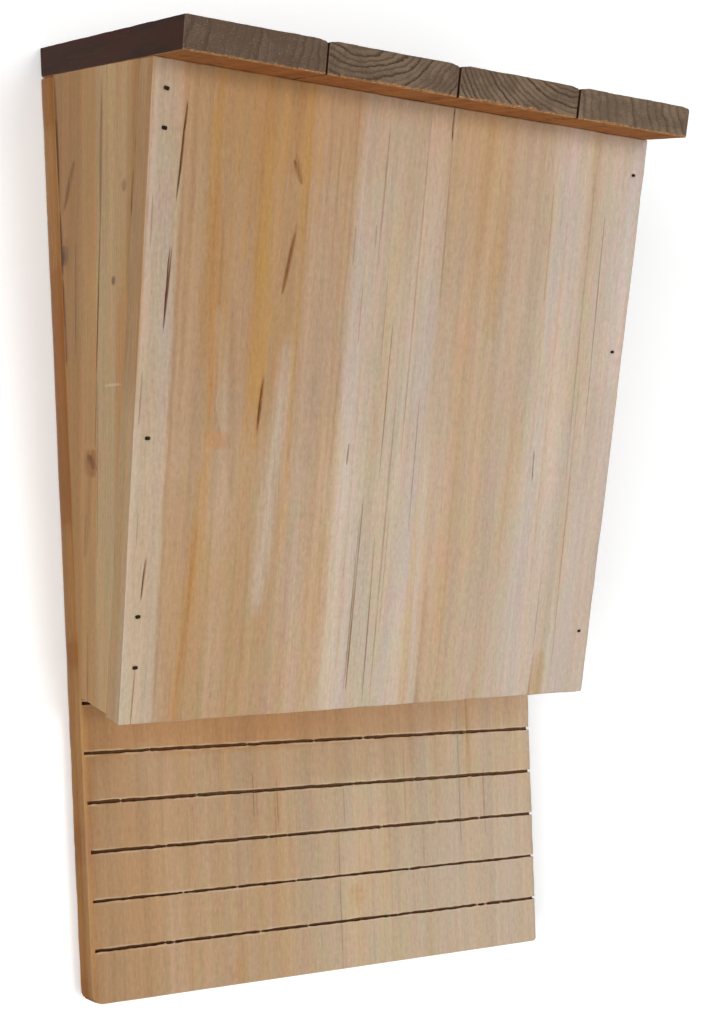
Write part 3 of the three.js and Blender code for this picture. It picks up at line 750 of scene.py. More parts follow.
def hanger_screw(side, middle):
    """A profile turned round an axis. On the head's face two crossed bars are pressed in, and along the
    shank the radius rises once per turn and pitch, in a ridge: a function of depth over pitch less angle
    over a full turn."""
    angle = np.linspace(0, 2 * math.pi, SCREW_STEPS, endpoint=False)
    face = [(r, FACE_DEPTH) for r in np.linspace(0.06, 3.3, 26)]
    thread = [(CORE_RADIUS, d) for d in np.arange(2.5, 8.2, 0.11)]
    point = [(CORE_RADIUS * (SCREW_LENGTH - d) / POINT_LENGTH, d) for d in np.arange(8.3, SCREW_LENGTH, 0.11)]
    profile = np.array(face + [(3.46, 0.08), (3.54, 0.18), (1.5, 2.2)] + thread + point)
    radius, deep = (column[:, None] for column in profile.T)
    turns = (deep / THREAD_PITCH - angle / (2 * math.pi)) % 1
    ridge = np.clip(1 - np.abs(turns - 0.5) * 3.2, 0, 1) * (THREAD_RADIUS - CORE_RADIUS)
    reach = radius + (deep > 2.3) * ridge * np.clip((SCREW_LENGTH - deep) / POINT_LENGTH, 0, 1)
    x, z = reach * np.cos(angle + CROSS_TURN), reach * np.sin(angle + CROSS_TURN)
    bars = np.minimum(*(rounded_box_distance(x, z, half, 0.1) for half in (CROSS_HALF, CROSS_HALF[::-1])))
    deep = deep + (deep == FACE_DEPTH) * inside(bars, 0.1) * CROSS_DEPTH * (1 - 0.25 * reach)
    quads, caps = ring_quads(len(profile), SCREW_STEPS)
    places = in_frame(middle + x.ravel(), (PLATE_SINK + deep + 0 * x).ravel(), PLATE_UP + z.ravel())
    return make_piece(f"screw_{side}_zinc", places, quads, f"hanger_screw_{side}", caps=caps)


hanger += [hanger_screw("left", -SCREW_ACROSS), hanger_screw("right", SCREW_ACROSS)]

# %% [markdown]
# ## Tools for materials
# A material is a tree of shader nodes. Each node's output is held as a wire, and a sum written with
# wires places the nodes that work it out. So a recipe below reads like the formula that it is.

# %% Node tools


class Wire:
    """An output of a node. The signs + - * / place a Math node and give its output."""

    def __init__(self, socket):
        self.socket, self.tree = socket, socket.id_data


def feed(socket, value):
    if isinstance(value, Wire):
        value.tree.links.new(value.socket, socket)
    else:
        socket.default_value = value


def put(kind, feeds, tree=None, output=0, **settings):
    """Places a node in the tree given, or else in that of its first wire. Gives one of its outputs, or
    all of them by name if the output is None."""
    tree = tree or next(value.tree for value in feeds.values() if isinstance(value, Wire))
    node = tree.nodes.new("ShaderNode" + kind)
    for key, value in settings.items():
        setattr(node, key, value)
    for key, value in feeds.items():
        feed(node.inputs[key], value)
    if output is None:
        return {socket.name: Wire(socket) for socket in node.outputs}
    return Wire(node.outputs[output]) if len(node.outputs) else None


def calc(operation, *values, clamp=False):
    return put("Math", dict(enumerate(values)), operation=operation, use_clamp=clamp)


for sign, operation in {"add": "ADD", "sub": "SUBTRACT", "mul": "MULTIPLY", "truediv": "DIVIDE"}.items():
    setattr(Wire, f"__{sign}__", lambda self, other, operation=operation: calc(operation, self, other))
    setattr(Wire, f"__r{sign}__", lambda self, other, operation=operation: calc(operation, other, self))


def ramp(value, low, high, to_low=0.0, to_high=1.0):
    """An eased step, from to_low below low to to_high above high."""
    feeds = {"Value": value, "From Min": low, "From Max": high, "To Min": to_low, "To Max": to_high}
    return put("MapRange", feeds, interpolation_type="SMOOTHSTEP")


def ramp_linear(value, low, high):
    share = put("MapRange", {"Value": value, "From Min": low, "From Max": high}, clamp=False)
    return calc("MAXIMUM", calc("MINIMUM", share, 1.0), 0.0)


def mix(share, first, second, kind="MIX"):
    feeds = {0: share, 6: first, 7: second}
    return put("Mix", feeds, output=2, data_type="RGBA", blend_type=kind, clamp_factor=True)


def scaled(vector, x, y, z):
    return put("VectorMath", {0: vector, 1: (x, y, z)}, operation="MULTIPLY")


def noise(vector, x, y, z, detail=2.0, roughness=0.5):
    """Noise with its own scale along each axis."""
    feeds = {"Vector": scaled(vector, x, y, z), "Scale": 1.0, "Detail": detail, "Roughness": roughness}
    return put("TexNoise", feeds)


def read(tree, name):
    return put("Attribute", {}, tree, "Fac", attribute_name=name)


def split(vector):
    return put("SeparateXYZ", {0: vector}, output=None).values()


def new_group(name, inputs, outputs):
    """An empty node group: the wires of its inputs and the sockets of its outputs, by name. A socket
    given as None takes a vector, any other one a number, with what is given as its default."""
    tree = bpy.data.node_groups.new(name, "ShaderNodeTree")
    for way, sockets in (("INPUT", inputs), ("OUTPUT", outputs)):
        for socket, value in sockets.items():
            kind = "NodeSocketVector" if value is None else "NodeSocketFloat"
            made = tree.interface.new_socket(name=socket, in_out=way, socket_type=kind)
            if value is not None and way == "INPUT":
                made.default_value = value
    given = tree.nodes.new("NodeGroupInput").outputs
    result = tree.nodes.new("NodeGroupOutput").inputs
    return tree, {socket.name: Wire(socket) for socket in given if socket.name}, result


def new_material(name):
    material = bpy.data.materials.new(name)
    material.use_nodes = True
    material.node_tree.nodes.clear()
    return material, material.node_tree


def add_shader(base, rough, relief, strength, distance, specular, metallic=0.0):
    """A material's last nodes: bump from the relief, with its distance in mm, the shader, the output."""
    bump = put("Bump", {"Height": relief, "Strength": strength, "Distance": distance * MM})
    shader = put("BsdfPrincipled", {"Base Color": base, "Roughness": rough, "Normal": bump,
                                    "Specular IOR Level": specular, "Metallic": metallic})
    put("OutputMaterial", {"Surface": shader})


def colour(red, green, blue):
    """A colour as it should look on screen, 0 to 255, in the linear light that shaders use."""
    share = np.array([red, green, blue]) / 255
    linear = np.where(share <= 0.04045, share / 12.92, ((share + 0.055) / 1.055) ** 2.4)
    return (*linear, 1.0)


def table(text):
    """Rows of values: numbers as numbers, red/green/blue as a colour, and names as they are."""
    def value(word):
        if "/" in word:
            return colour(*map(int, word.split("/")))
        return word if word[0].isalpha() else float(word)
    return [[value(word) for word in row.split()] for row in text.strip().splitlines()]


# %% [markdown]
# ## Grain
# Softwood grain is the same idea at several widths: soft figure, ring lines that darken slowly and end
# sharply, short fibres, and a mottle from the saw, all drawn out along the board. The group takes a place
# in the board's own millimetres, across, through and along, lets it sway a little, and reads noise that
# is stretched along the grain. Ring lines are uneven in spacing and show only in patches.

# %% Grain group


def grain_group():
    names = ("Figure", "Warmth", "Blush", "Bands", "Lines", "Fibres", "Mottle", "Flecks")
    tree, given, result = new_group("grain", {"Place": None, "Sway": 2.0, "Line spacing": 2.2},
                                    {"Swayed": None} | dict.fromkeys(names, 0.0))
    place = given["Place"]
    shift = (noise(place, 0.013, 0.03, 0.006) - 0.5) * (given["Sway"] * 2)
    swayed = put("VectorMath", {0: place, 1: put("CombineXYZ", {"X": shift})}, operation="ADD")
    feed(result["Swayed"], swayed)

    def drawn_out(x, y, z, detail, roughness=0.5):
        return noise(swayed, 1 / x, 1 / y, 1 / z, detail, roughness)

    def show(name, size, detail, roughness, low, high, step=ramp):
        feed(result[name], step(drawn_out(*size, detail, roughness), low, high))

    show("Figure", (7, 7, 130), 4.0, 0.62, 0.28, 0.72, ramp_linear)
    show("Warmth", (8, 9, 75), 3.0, 0.55, 0.32, 0.68)
    show("Blush", (4.5, 4.5, 16), 2.0, 0.5, 0.32, 0.68)
    show("Bands", (3.4, 3.4, 170), 1.5, 0.6, 0.44, 0.57)
    spread, ripple = drawn_out(24, 24, 700, 1.0), drawn_out(5, 5, 55, 2.0)
    across, _, _ = split(swayed)
    ring = across / given["Line spacing"] + spread * 9.0 + ripple * 0.7
    own = put("TexWhiteNoise", {"W": calc("FLOOR", ring)}, noise_dimensions="1D")
    ring = calc("FRACT", ring)
    line = ramp(ring, 0.3, 0.93) * ramp(ring, 0.93, 1.0, 1.0, 0.0) * (own * own)
    feed(result["Lines"], line * ramp(drawn_out(16, 16, 190, 1.0), 0.4, 0.6))
    show("Fibres", (0.75, 0.75, 8), 3.0, 0.5, 0.4, 0.75)
    show("Mottle", (1.1, 1.1, 2.6), 4.0, 0.75, 0.28, 0.72, ramp_linear)
    show("Flecks", (0.5, 0.5, 7), 1.0, 0.5, 0.7, 0.78)
    return tree


GRAIN = grain_group()
print("grain group:", len(GRAIN.nodes), "nodes")

# %% [markdown]
# ## Marks
# A crack, a resin streak, a knot's smear and a pale tongue are all one lens-shaped mark with a place, a
# length, a width and a lean. The group draws one such mark softly. Its rim wanders, and the strength of
# a narrow one varies in long thin strands, as colour does that follows the grain.

# %% Mark group


def mark_group():
    names = ("X", "Z", "Depth", "Rim", "Strands", "Across", "Along", "Lean", "Half length", "Half width",
             "Uneven", "Soft", "Reach")
    tree, given, result = new_group("mark", dict.fromkeys(names, 0.0), {"Mask": 0.0})
    x, z, depth, rim, strands, across, along, lean, *rest = given.values()
    half_length, half_width, uneven, soft, reach = rest
    rise = z - along
    off = calc("ABSOLUTE", x - (across + rise * lean + rim * (uneven * 4)))
    share = rise / half_length
    lens = calc("SQRT", calc("MAXIMUM", 1.0 - share * share, 0.0))
    soft = soft * half_width
    mask = (half_width * lens + soft - off) / (soft * 2)
    narrow = calc("MINIMUM", 2.5 / half_width, 1.0)
    strands = 1.0 - strands * narrow
    mask = ramp(mask, 0.0, 1.0) * ramp(lens, 0.0, 0.6) * strands
    feed(result["Mask"], mask * ramp(depth - reach, 0.0, 1.5, 1.0, 0.0))
    return tree


MARK = mark_group()
print("mark group:", len(MARK.nodes), "nodes")

# %% [markdown]
# ## Sawn softwood
# The box's own boards share one recipe. Strips of named tones lie across the board, as heartwood and
# sapwood do. The grain makes them uneven and warmer or cooler, marks add what this board has, and the
# attributes from the mesh paint shade into kerfs and cracks, darken nail dents and tint the sawn edges.
# Arrises are paled as wear and painted highlight, and a band along each kerf's lips as torn fibres and
# painted highlight.

# %% Softwood recipe
# Of these tones, kerf is painted shade for kerf floors and cracks. Torn is the pale of torn fibres and
# scratches, and also a painted highlight on arrises and kerf lips. Shade is a dark brown for grain lines, and
# also the painted shade in the front panel's eave washes.
TONES = dict(table("""
    blush 202/184/169
    sapwood 197/179/161
    cream 194/175/151
    wheat 192/168/141
    rose 190/162/133
    pale_rose 192/167/142
    fawn 191/168/140
    dun 182/152/119
    tan 182/150/116
    olive 178/147/110
    clay 170/136/100
    flank 187/153/112
    honey 184/138/84
    ochre 178/138/80
    straw 194/161/118
    heart 189/145/96
    rust 174/130/83
    russet 172/131/89
    amber 158/104/52
    toffee 160/117/76
    shade 132/98/68
    crack 96/62/38
    kerf 98/60/32
    torn 214/190/160"""))
WARM, COOL = (1.035, 0.985, 0.91, 1), (0.965, 1.0, 1.075, 1)
PINK, OLIVE = (1.03, 0.975, 1.01, 1), (0.97, 1.02, 0.975, 1)
SWAY, RAGGED = 2.0, 3.2  # in mm: how far the grain sways, and how far a strip's border wanders
THROUGH, ARRIS_NEAR = 1000.0, 95.0
RIM = (0.5, 0.9)


def board_place(tree, origin, turn):
    """Object coordinates as board millimetres: the origin goes to zero, and the turn lines up the axes."""
    turn_matrix = turn_about("Z", turn[2]) @ turn_about("Y", turn[1]) @ turn_about("X", turn[0])
    feeds = {"Vector": put("TexCoord", {}, tree, "Object"), "Rotation": turn, "Scale": (1 / MM,) * 3,
             "Location": tuple(-turn_matrix @ np.array(origin, float))}
    return put("Mapping", feeds, vector_type="POINT")


def tone_strips(value, low, high, strips):
    """A colour ramp across the board, from places and tones in turn."""
    tones = put("ValToRGB", {"Fac": ramp_linear(value, low, high)})
    steps = tones.socket.node.color_ramp.elements
    steps.remove(steps[-1])
    for number, (place, tone) in enumerate(pair.split() for pair in strips.split(",")):
        share = (float(place) - low) / (high - low)
        step = steps.new(share) if number else steps[0]
        step.position, step.color = share, TONES[tone]
    return tones


def add_marks(base, place, swayed, marks, reach):
    """Lays marks over a colour: each is across, along, lean, half length, half width, strength, tone,
    and may end with how uneven and how soft its rim is. A mark reaches a little below the face, but one at
    the board's edge goes through. Heights and rims are read at the swayed place, as the base colour is:
    the renderer then works out each mark just before it lays it, and needn't hold them all at once."""
    x, y, _ = split(place)
    _, _, z = split(swayed)
    shared = {"X": x, "Z": z, "Depth": calc("ABSOLUTE", y)}
    shared["Rim"] = noise(swayed, 0.45, 0.45, 0.06, 3.0) - 0.5
    shared["Strands"] = ramp(noise(swayed, 0.7, 0.7, 0.035, 3.0, 0.6), 0.3, 0.62, 0.6, 0.0)
    for across, along, lean, length, width, strength, tone, *rim in marks:
        uneven, soft = rim or RIM
        mask = put("Group", shared | {
            "Across": across, "Along": along, "Lean": lean, "Half length": length, "Half width": width,
            "Uneven": uneven, "Soft": soft, "Reach": reach if abs(across) < ARRIS_NEAR else THROUGH},
            output="Mask", node_tree=MARK)
        base = mix(mask * strength, base, TONES[tone] if isinstance(tone, str) else tone)
    return base


def softwood(name, origin, turn, low, high, strips, marks, flank, lined, reach=3.0):
    """The recipe as a material. Low and high are the board's edges across, flank is the tone of its long
    sawn edges, and lined is how strong the ring lines are."""
    material, tree = new_material(name)
    place = board_place(tree, origin, turn)
    grain = put("Group", {"Place": place, "Sway": SWAY}, output=None, node_tree=GRAIN)
    figure, mottle, swayed = grain["Figure"] - 0.5, grain["Mottle"], grain["Swayed"]
    across, _, _ = split(swayed)
    base = tone_strips(across + figure * RAGGED, low, high, strips)
    base = mix(read(tree, "flank"), base, TONES[flank])
    base = mix(1.0, base, mix(grain["Warmth"], COOL, WARM), "MULTIPLY")
    base = mix(1.0, base, mix(grain["Blush"], OLIVE, PINK), "MULTIPLY")
    base = add_marks(base, place, swayed, marks, reach)
    level = 1.02 + figure * 0.15 - (grain["Bands"] - 0.5) * 0.055 - grain["Lines"] * (0.24 * lined)
    level = level - grain["Fibres"] * 0.075 + (mottle - 0.5) * 0.26 - grain["Flecks"] * 0.15
    base = put("VectorMath", {0: base, "Scale": level}, operation="SCALE")
    # arrises paled towards the torn tone: worn wood and a painted highlight where they catch the light
    arris_wear_and_highlight = ramp(read(tree, "edge") + mottle * 0.6, 0.3, 0.9, 1.0, 0.0)
    base = mix(arris_wear_and_highlight * 0.14, base, TONES["torn"])
    base = mix(read(tree, "endgrain") * 0.3, base, TONES["toffee"])
    # painted shade in kerfs and cracks, in the kerf tone, less where a splinter bridges a kerf
    groove_shade_mask = calc("SUBTRACT", read(tree, "soot"), read(tree, "splinter") * 0.7, clamp=True)
    groove_shade_mask = groove_shade_mask * ramp(mottle, 0.0, 1.0, 0.98, 0.8)
    # the band along the kerf lips: torn fibres and painted highlight
    base = mix(read(tree, "fibre") * 0.42, base, TONES["torn"])
    base = mix(groove_shade_mask, base, TONES["kerf"])
    base = mix(ramp(read(tree, "dent"), 0.15, 0.7) * 0.15, base, TONES["crack"])
    relief = mottle * 0.8 - grain["Lines"] * 0.5 - grain["Fibres"] * 0.6
    add_shader(base, 0.7 + mottle * 0.16, relief, strength=0.4, distance=0.12, specular=0.12)
    print(f"{name}: {len(marks)} marks, {len(tree.nodes)} nodes")
    return material


# %% [markdown]
# ## The front panel's own wood
# The panel was glued up from strips. From the left: a pale sapwood edge, tan heartwood with resin
# streaks, a pale group of fine-lined strips left of the middle, a warm strip, and a pale one before the
# right edge. Resin streaks and cracks lean with the grain.

# %% Front panel material
HALF = WIDTH / 2
FRONT_STRIPS = """-98 sapwood, -94 cream, -89 sapwood, -87 wheat, -85.5 tan, -77 tan, -70 olive, -64 tan,
    -55 olive, -44 tan, -37 rose, -26 rose, -23 wheat, -21 sapwood, -13 sapwood, -10 cream, 0 cream,
    4 sapwood, 11 sapwood, 14 wheat, 18 pale_rose, 27 rose, 36 wheat, 46 pale_rose, 56 cream, 61 sapwood,
    64 blush, 70 blush, 75 cream, 84 sapwood, 89 blush, 98 blush"""
# The six broad washes high on the panel (the honey, toffee and shade rows centred at along 170 to 222, half
# widths 22 to 130) are painted shade under the roof's eave. They make the panel's top darker and warmer, most
# at the left.
FRONT_MARKS = table("""
    -80 40 0 70 9 .4 170/137/104 2 .9
    -92 78 0 50 6 .3 dun 1 .9
    91 50 0 80 10 .5 184/165/149 2 .9
    66 34 0 56 7 .4 186/167/152 2 .9
    50 172 0 60 9 .35 186/168/150 2 .9
    -65 150 0 100 6 .8 182/155/130 2.5 .9
    -82 160 0 80 4 .7 183/156/130 2 .9
    -50 182 0 44 3.2 .9 184/150/120 1.5 .9
    -36 160 0 90 7 .7 188/161/136 2 .9
    -75 175 .02 60 1.5 .85 180/136/84 .9 .9
    -46 199 0 18 2.6 .7 170/120/74 1.2 .9
    -57 165 0 60 1.9 .9 180/128/76 1.2 .9
    -41.4 190 0 44 1.4 .8 182/134/80 .5 .9
    -46.3 154.5 .165 10.5 .75 1 118/78/46 .2 .7
    -44.9 184 -.3 5 .8 1 132/88/52 .2 .7
    -86.7 185 .065 15.5 .35 1 92/58/36 .1 .6
    -88.9 143 .055 13.5 .32 1 92/58/36 .1 .6
    -91.5 50 .09 8 .25 1 112/70/42 .1 .6
    -53.1 108 .07 9 .5 1 118/74/38 .1 .7
    -92 20 0 110 6 .6 wheat 1 .9
    -82.6 170 0 80 .9 .5 toffee .5 .9
    -68.4 160 0 40 1.3 .5 dun .8 .8
    -60.8 196 0 36 1.4 .5 toffee .6 .8
    -47.6 190 0 24 1 .45 dun .6 .8
    -34 195 0 30 .6 .4 toffee .4 .8
    -30.2 188 0 40 .5 .35 toffee .4 .8
    -24.3 150 0 70 .5 .4 toffee .4 .8
    -20.4 120 0 90 .5 .5 blush .2 .8
    -18.6 60 0 50 .4 .5 blush .2 .8
    8 130 0 80 1.2 .45 blush .3 .8
    -15.6 70 0 60 .35 .4 tan .2 .8
    -54 40 0 24 .5 .5 toffee .3 .8
    -26.2 40 0 34 1.6 .35 ochre .7 .9
    -66 40 0 50 1 .35 dun .8 .9
    -85.4 90 0 90 .8 .4 toffee .4 .9
    -98.5 180 0 80 1.4 .9 russet .1 .4
    -50 206 0 26 46 .25 honey 6 .9
    -20 212 0 9 130 .14 honey 3 .9
    -50 222 0 135 110 .15 toffee 6 .9
    -64 215 0 120 46 .14 shade 8 .9
    -60 170 0 60 22 .25 honey 6 .9
    30 208 0 60 30 .16 honey 6 .9
    -72.4 140 -.03 46 2.2 .9 176/128/76 .8 .8
    -70.3 135 -.03 34 .5 .45 toffee .5 .9
    -75.5 185 .05 30 1.2 .5 ochre .7 .9
    -66 196 0 22 2.4 .4 ochre 1 .9
    -74.9 45 .07 55 2.1 .8 honey .9 .9
    -80 150 .02 50 2 .3 olive 1.2 .9
    -75.6 36 .07 38 .8 .45 172/118/64 .5 .9
    -68 96 0 3.2 4.2 .6 186/134/90 .6 .7
    -69.5 106 -.25 11 .5 .4 toffee
    -55.6 150 -.02 48 2.6 .9 ochre .9 .9
    -58.5 185 0 34 2 .5 russet .9 .9
    -53.4 118 .03 26 1.4 .8 honey .7 .9
    -57.5 112 0 22 .8 .5 honey
    -51.4 196 0 22 1.6 .5 ochre .8 .9
    -42.5 186 0 30 1.4 .7 ochre .7 .9
    -41.6 120 0 40 1.1 .6 ochre .7 .9
    -26.6 110 0 90 .7 .3 honey
    -24.8 70 0 50 .6 .3 ochre
    37 165 .03 32 2.6 .35 ochre 1.2 .9
    29 186 .02 26 3 .3 ochre 1.2 .9
    20.8 8 -.02 40 1.4 .6 olive .4 .9
    20.2 0 0 14 .8 .5 toffee .3 .9
    74 0 .06 22 3 .55 ochre .5 .8
    71.6 4 .04 18 .5 .7 toffee .2 .7
    76 190 0 40 2 .4 tan
    79.6 120 0 90 1 .3 tan
    -46.8 84 .05 48 2.8 .75 sapwood .6 .95
    -68.2 118 -.12 22 2.2 .35 cream
    -64 110 -.06 34 1.4 .3 shade
    52 150 0 60 3 .25 tan
    -45.4 183 -.4 3.8 .8 1 128/86/48 .15 .6
    -53.2 108 .07 11 .9 .7 toffee .1 .9
    -46.2 156 .17 12 .8 .6 toffee .2 .9
    15.6 50 -.03 60 1.6 .8 sapwood .3 .8
    -62.5 182 .02 32 1.3 .55 honey
    -68 150 .02 40 1.2 .4 honey
    -50.4 178 .02 30 .8 .6 honey
    -37.5 190 0 24 1.1 .5 honey
    -30 60 0 60 1 .25 honey
    -10.4 44 .01 36 .3 .7 shade .1 .6
    -.3 60 0 60 .34 .5 shade .1 .6
    3.8 150 0 60 .34 .45 shade .1 .6
    76.8 140 -.02 60 .3 .45 shade .1 .6
    80.2 70 -.02 60 .3 .4 shade .1 .6
    66 120 -.01 80 .5 .3 tan .1 .8
    59.5 130 -.02 60 .8 .35 tan .2 .8
    -22.1 162 0 6.5 .31 .8 shade .05 .5
    -12.2 178 .01 24 .29 .8 shade .08 .5
    -14.1 166 0 4 .3 .5 shade .05 .5
    -17.9 93 .05 4 .34 .75 shade .05 .5
    -17.5 140 0 10 .25 .5 shade .1 .5
    -11.2 40 .012 34 .27 .8 shade .1 .5
    -10.6 22 0 14 .31 .8 shade .1 .5
    -4.3 112 0 28 .25 .75 shade .1 .5
    -3.7 34 -.01 32 .25 .75 shade .1 .5
    9.6 90 -.01 26 .25 .5 shade .1 .5
    -7.8 140 0 20 .23 .4 shade .1 .5
    1.2 52 0 24 .23 .4 shade .1 .5
    13.6 176 -.02 32 .35 .45 shade .1 .8
    58.4 170 -.03 22 .31 .4 shade .1 .6
    83.2 143 -.03 42 .26 .7 shade .1 .5
    71.6 36 0 16 .3 .4 shade .1 .6
    -93.3 10 .03 11 .25 .7 shade .05 .5
    -96.2 108 .02 9 .27 .7 shade .05 .5
    -95.6 162 0 9 .25 .6 shade .05 .5
    -94.9 66 0 6 .23 .5 shade .05 .5""")
front_wood = softwood("front_panel_softwood", (0, -FRONT_FOOT_OUT, FRONT_FOOT_UP - WALL_POINT), (-LEAN, 0, 0),
                      -HALF, HALF, FRONT_STRIPS, FRONT_MARKS, "flank", lined=0.22)

# %% [markdown]
# ## The back board's wood
# The same timber, tan at the left and paler and greyer to the right, with honey-coloured edges. Its grain
# runs up the board and crosses the kerfs. Under the front panel's foot it is painted darker and warmer, as
# painted shade from the panel.

# %% Back board material
BACK_STRIPS = """-98 amber, -96.5 amber, -92 clay, -80 clay, -64 dun, -40 dun, -22 dun, 10 fawn, 98 fawn"""
# The first row, and the toffee row at the left edge just under the foot, are painted shade under the front
# panel's foot: a warm dark band across the top of the landing.
BACK_MARKS = table("""
    -28 103 0 17 104 .8 178/130/86 3 .9
    -94 98 0 18 9 .5 toffee 2 .9
    -92 45 0 80 16 .4 156/120/84 2 .9
    14 84 0 12 24 .5 176/140/102 3 .9
    84 28 0 44 34 .5 190/170/152 3 .9
    -80 40 0 50 26 .3 180/150/124 3 .9
    62 72 0 30 .3 .6 shade .1 .6
    66.5 96 0 12 .3 .6 toffee .1 .6
    -21 66 0 10 .3 .6 shade .1 .6
    73.6 62 0 9 .3 .6 toffee .1 .6
    36 70 0 20 .35 .4 toffee .1 .6
    -60 60 0 60 26 .2 heart 8 .9
    -82 40 0 60 10 .2 heart 5 .9
    5 26 0 30 .2 .6 shade .1 .5
    74 60 0 14 .25 .5 shade .1 .5
    12 28 0 5 3 .35 honey .5 .9
    -40 5 0 5 3 .4 honey .5 .9
    67 80 0 16 1.2 .35 toffee
    -22 62 0 12 .3 .4 shade .1 .5
    40 90 0 20 1 .3 toffee
    -98 285 0 26 1.5 .45 honey .5 .9
    -98 236 0 12 1.5 .5 158/96/52 .5 .9
    -98 190 0 24 1.5 .35 140/92/52 .5 .9
    -98 150 0 22 1.5 .5 honey .5 .9
    -97.5 92 0 30 2 .5 honey .8 .9
    -97.5 30 0 22 2 .4 honey .8 .9
    -31 70 0 9 .25 .6 shade .1 .6
    -29.6 68 0 7 .2 .5 shade .1 .6
    -56 62 0 6 .25 .5 shade .1 .6
    8 64 0 8 .25 .5 shade .1 .6
    44 44 0 8 .25 .5 shade .1 .6
    -75 84 0 9 5 .25 rose 2 .9
    -46 70 0 12 4 .3 rose 2 .9
    30 60 0 24 3 .2 olive 2 .9""")
back_wood = softwood("back_board_softwood", (0, -BACK_THICKNESS, -WALL_POINT), (0, 0, 0), -HALF, HALF,
                     BACK_STRIPS, BACK_MARKS, "amber", lined=0.2)

# %% [markdown]
# ## The side panels' wood
# Here the grain leans about seven degrees towards the front, so the board's axes are turned by that much.
# A darker heartwood half lies at the back and a paler one at the front, with a small knot by the joint.

# %% Side panel material
SIDE_LEAN, SIDE_HEIGHT = math.radians(7), 200
SIDE_EDGES = (-12, 88)


def side_mark(out, up, lean, *rest):
    """A mark at (out, up) of the side profile, in the side board's own axes. The joint is upright."""
    rise = up - SIDE_HEIGHT
    across = out * math.cos(SIDE_LEAN) - rise * math.sin(SIDE_LEAN)
    along = out * math.sin(SIDE_LEAN) + rise * math.cos(SIDE_LEAN)
    return (across, along, -math.tan(SIDE_LEAN) if lean == "joint" else lean, *rest)


SIDE_STRIPS = """-12 rust, 12 rust, 22 rust, 27 heart, 37 heart, 40 straw, 52 straw, 57 heart, 62 heart,
    68 rust, 88 rust"""
# The rows marked joint, by the back board, and the rows with lean .125 near out 71 to 77, by the front panel,
# are painted shadow in the gaps where the side panel meets those boards.
SIDE_MARKS = [side_mark(*row) for row in table("""
    17 262.5 0 7 6.5 .6 toffee 1 .9
    15.4 263 0 3.6 3.6 1 96/76/58 .8 .8
    14.4 262.5 0 2.2 1.8 1 52/44/40 .5 .8
    23 285 .6 8 1.8 1 112/78/48 .6 .8
    58.5 245 0 1.6 1.6 1 96/64/40 .1 .7
    58.5 245 0 1.2 1.1 1 50/32/20 .1 .7
    70 272.5 0 2 1.8 1 110/76/50 .1 .8
    70 272.5 0 1.5 1.3 1 86/56/34 .1 .8
    44.5 240 .06 26 .55 1 crack .1 .6
    38.5 205 .06 12 .6 .8 shade .1 .6
    33 189 0 5 4.4 .75 150/92/48 3 .95
    32.5 189.5 -.6 2.6 1.6 .9 108/70/42 1.6 .9
    36.5 187.5 -.8 1.6 .8 .8 shade .8 .9
    28 174 .14 17 2 .6 toffee 1.4 .9
    24 165 .14 8 .7 .6 shade .6 .9
    24.5 245 0 22 .7 .8 shade .2 .6
    21 120 0 13 .6 1 shade .1 .6
    54 212 -1.4 .5 6.5 .7 torn .1 .5
    38 186 0 30 .5 .5 shade .3 .7
    52 285 .02 22 1 .8 shade .3 .8
    14 285 joint 70 6 .3 toffee 1.5 .9
    13.4 303 joint 24 1.5 1 122/74/34 .2 .6
    13.3 299 joint 12 1.2 1 82/46/20 .2 .6
    13.3 268 joint 12 1.4 1 94/54/24 .2 .6
    13.3 241 joint 16 1.4 1 114/68/32 .2 .6
    74.5 262 .125 26 .5 .6 toffee .2 .8
    57 175 .1 30 1.5 .4 toffee .6 .9
    70 285 .08 55 5 .75 straw 1 .9
    53 292 .02 20 .9 .8 shade .3 .8
    50 270 .05 26 .5 .6 toffee .3 .8
    76.6 269 .125 8 .7 1 crack .1 .6
    71 236 .125 11 .7 .9 crack .1 .6
    30 300 0 40 14 .25 toffee 1.5 .9
    46 290 0 40 8 .25 toffee 1.5 .9""")]
side_wood = softwood("side_panel_softwood", (0, 0, SIDE_HEIGHT - WALL_POINT),
                     (-SIDE_LEAN, 0, math.radians(90)), *SIDE_EDGES, SIDE_STRIPS, SIDE_MARKS, "heart",
                     lined=0.5, reach=THROUGH)

for piece, material in ((front_panel, front_wood), (back_board, back_wood), (left_side, side_wood),
                        (right_side, side_wood)):
    piece.data.materials.append(material)

# %% [markdown]
# ## Weathered planks
# The planks are a darker timber, browned outside, bleached on top by the weather, and orange underneath
# where no sun or rain gets at them. The ring attribute from the mesh gives the growth rings on the end
# grain and the long lines on the faces.

# %% Plank material
PLANK = dict(table("""
    brown 72/45/33
    dark 40/26/21
    red 72/36/30
    black 40/30/28
    fleck 116/92/76
    top_pale 150/126/106
    top_dark 96/74/60
    top_brown 112/84/66
    early 128/108/88
    late 72/56/44
    dull 76/60/50
    end_brown 88/71/58
    end_dark 70/58/50
    end_pale 158/142/122
    under_pale 208/146/92
    under_dark 172/112/64
    under_line 150/92/50
    under_red 196/112/62
    under_brown 120/78/42
    torn_dark 158/108/66
    torn_pale 204/162/112
    rubbed 136/112/90
    bruise 40/30/26"""))


def lay(base, tone, value, *steps):
    """Lays a plank's tone over a base, as far as the value's ramp says."""
    return mix(ramp(value, *steps), base, PLANK[tone])


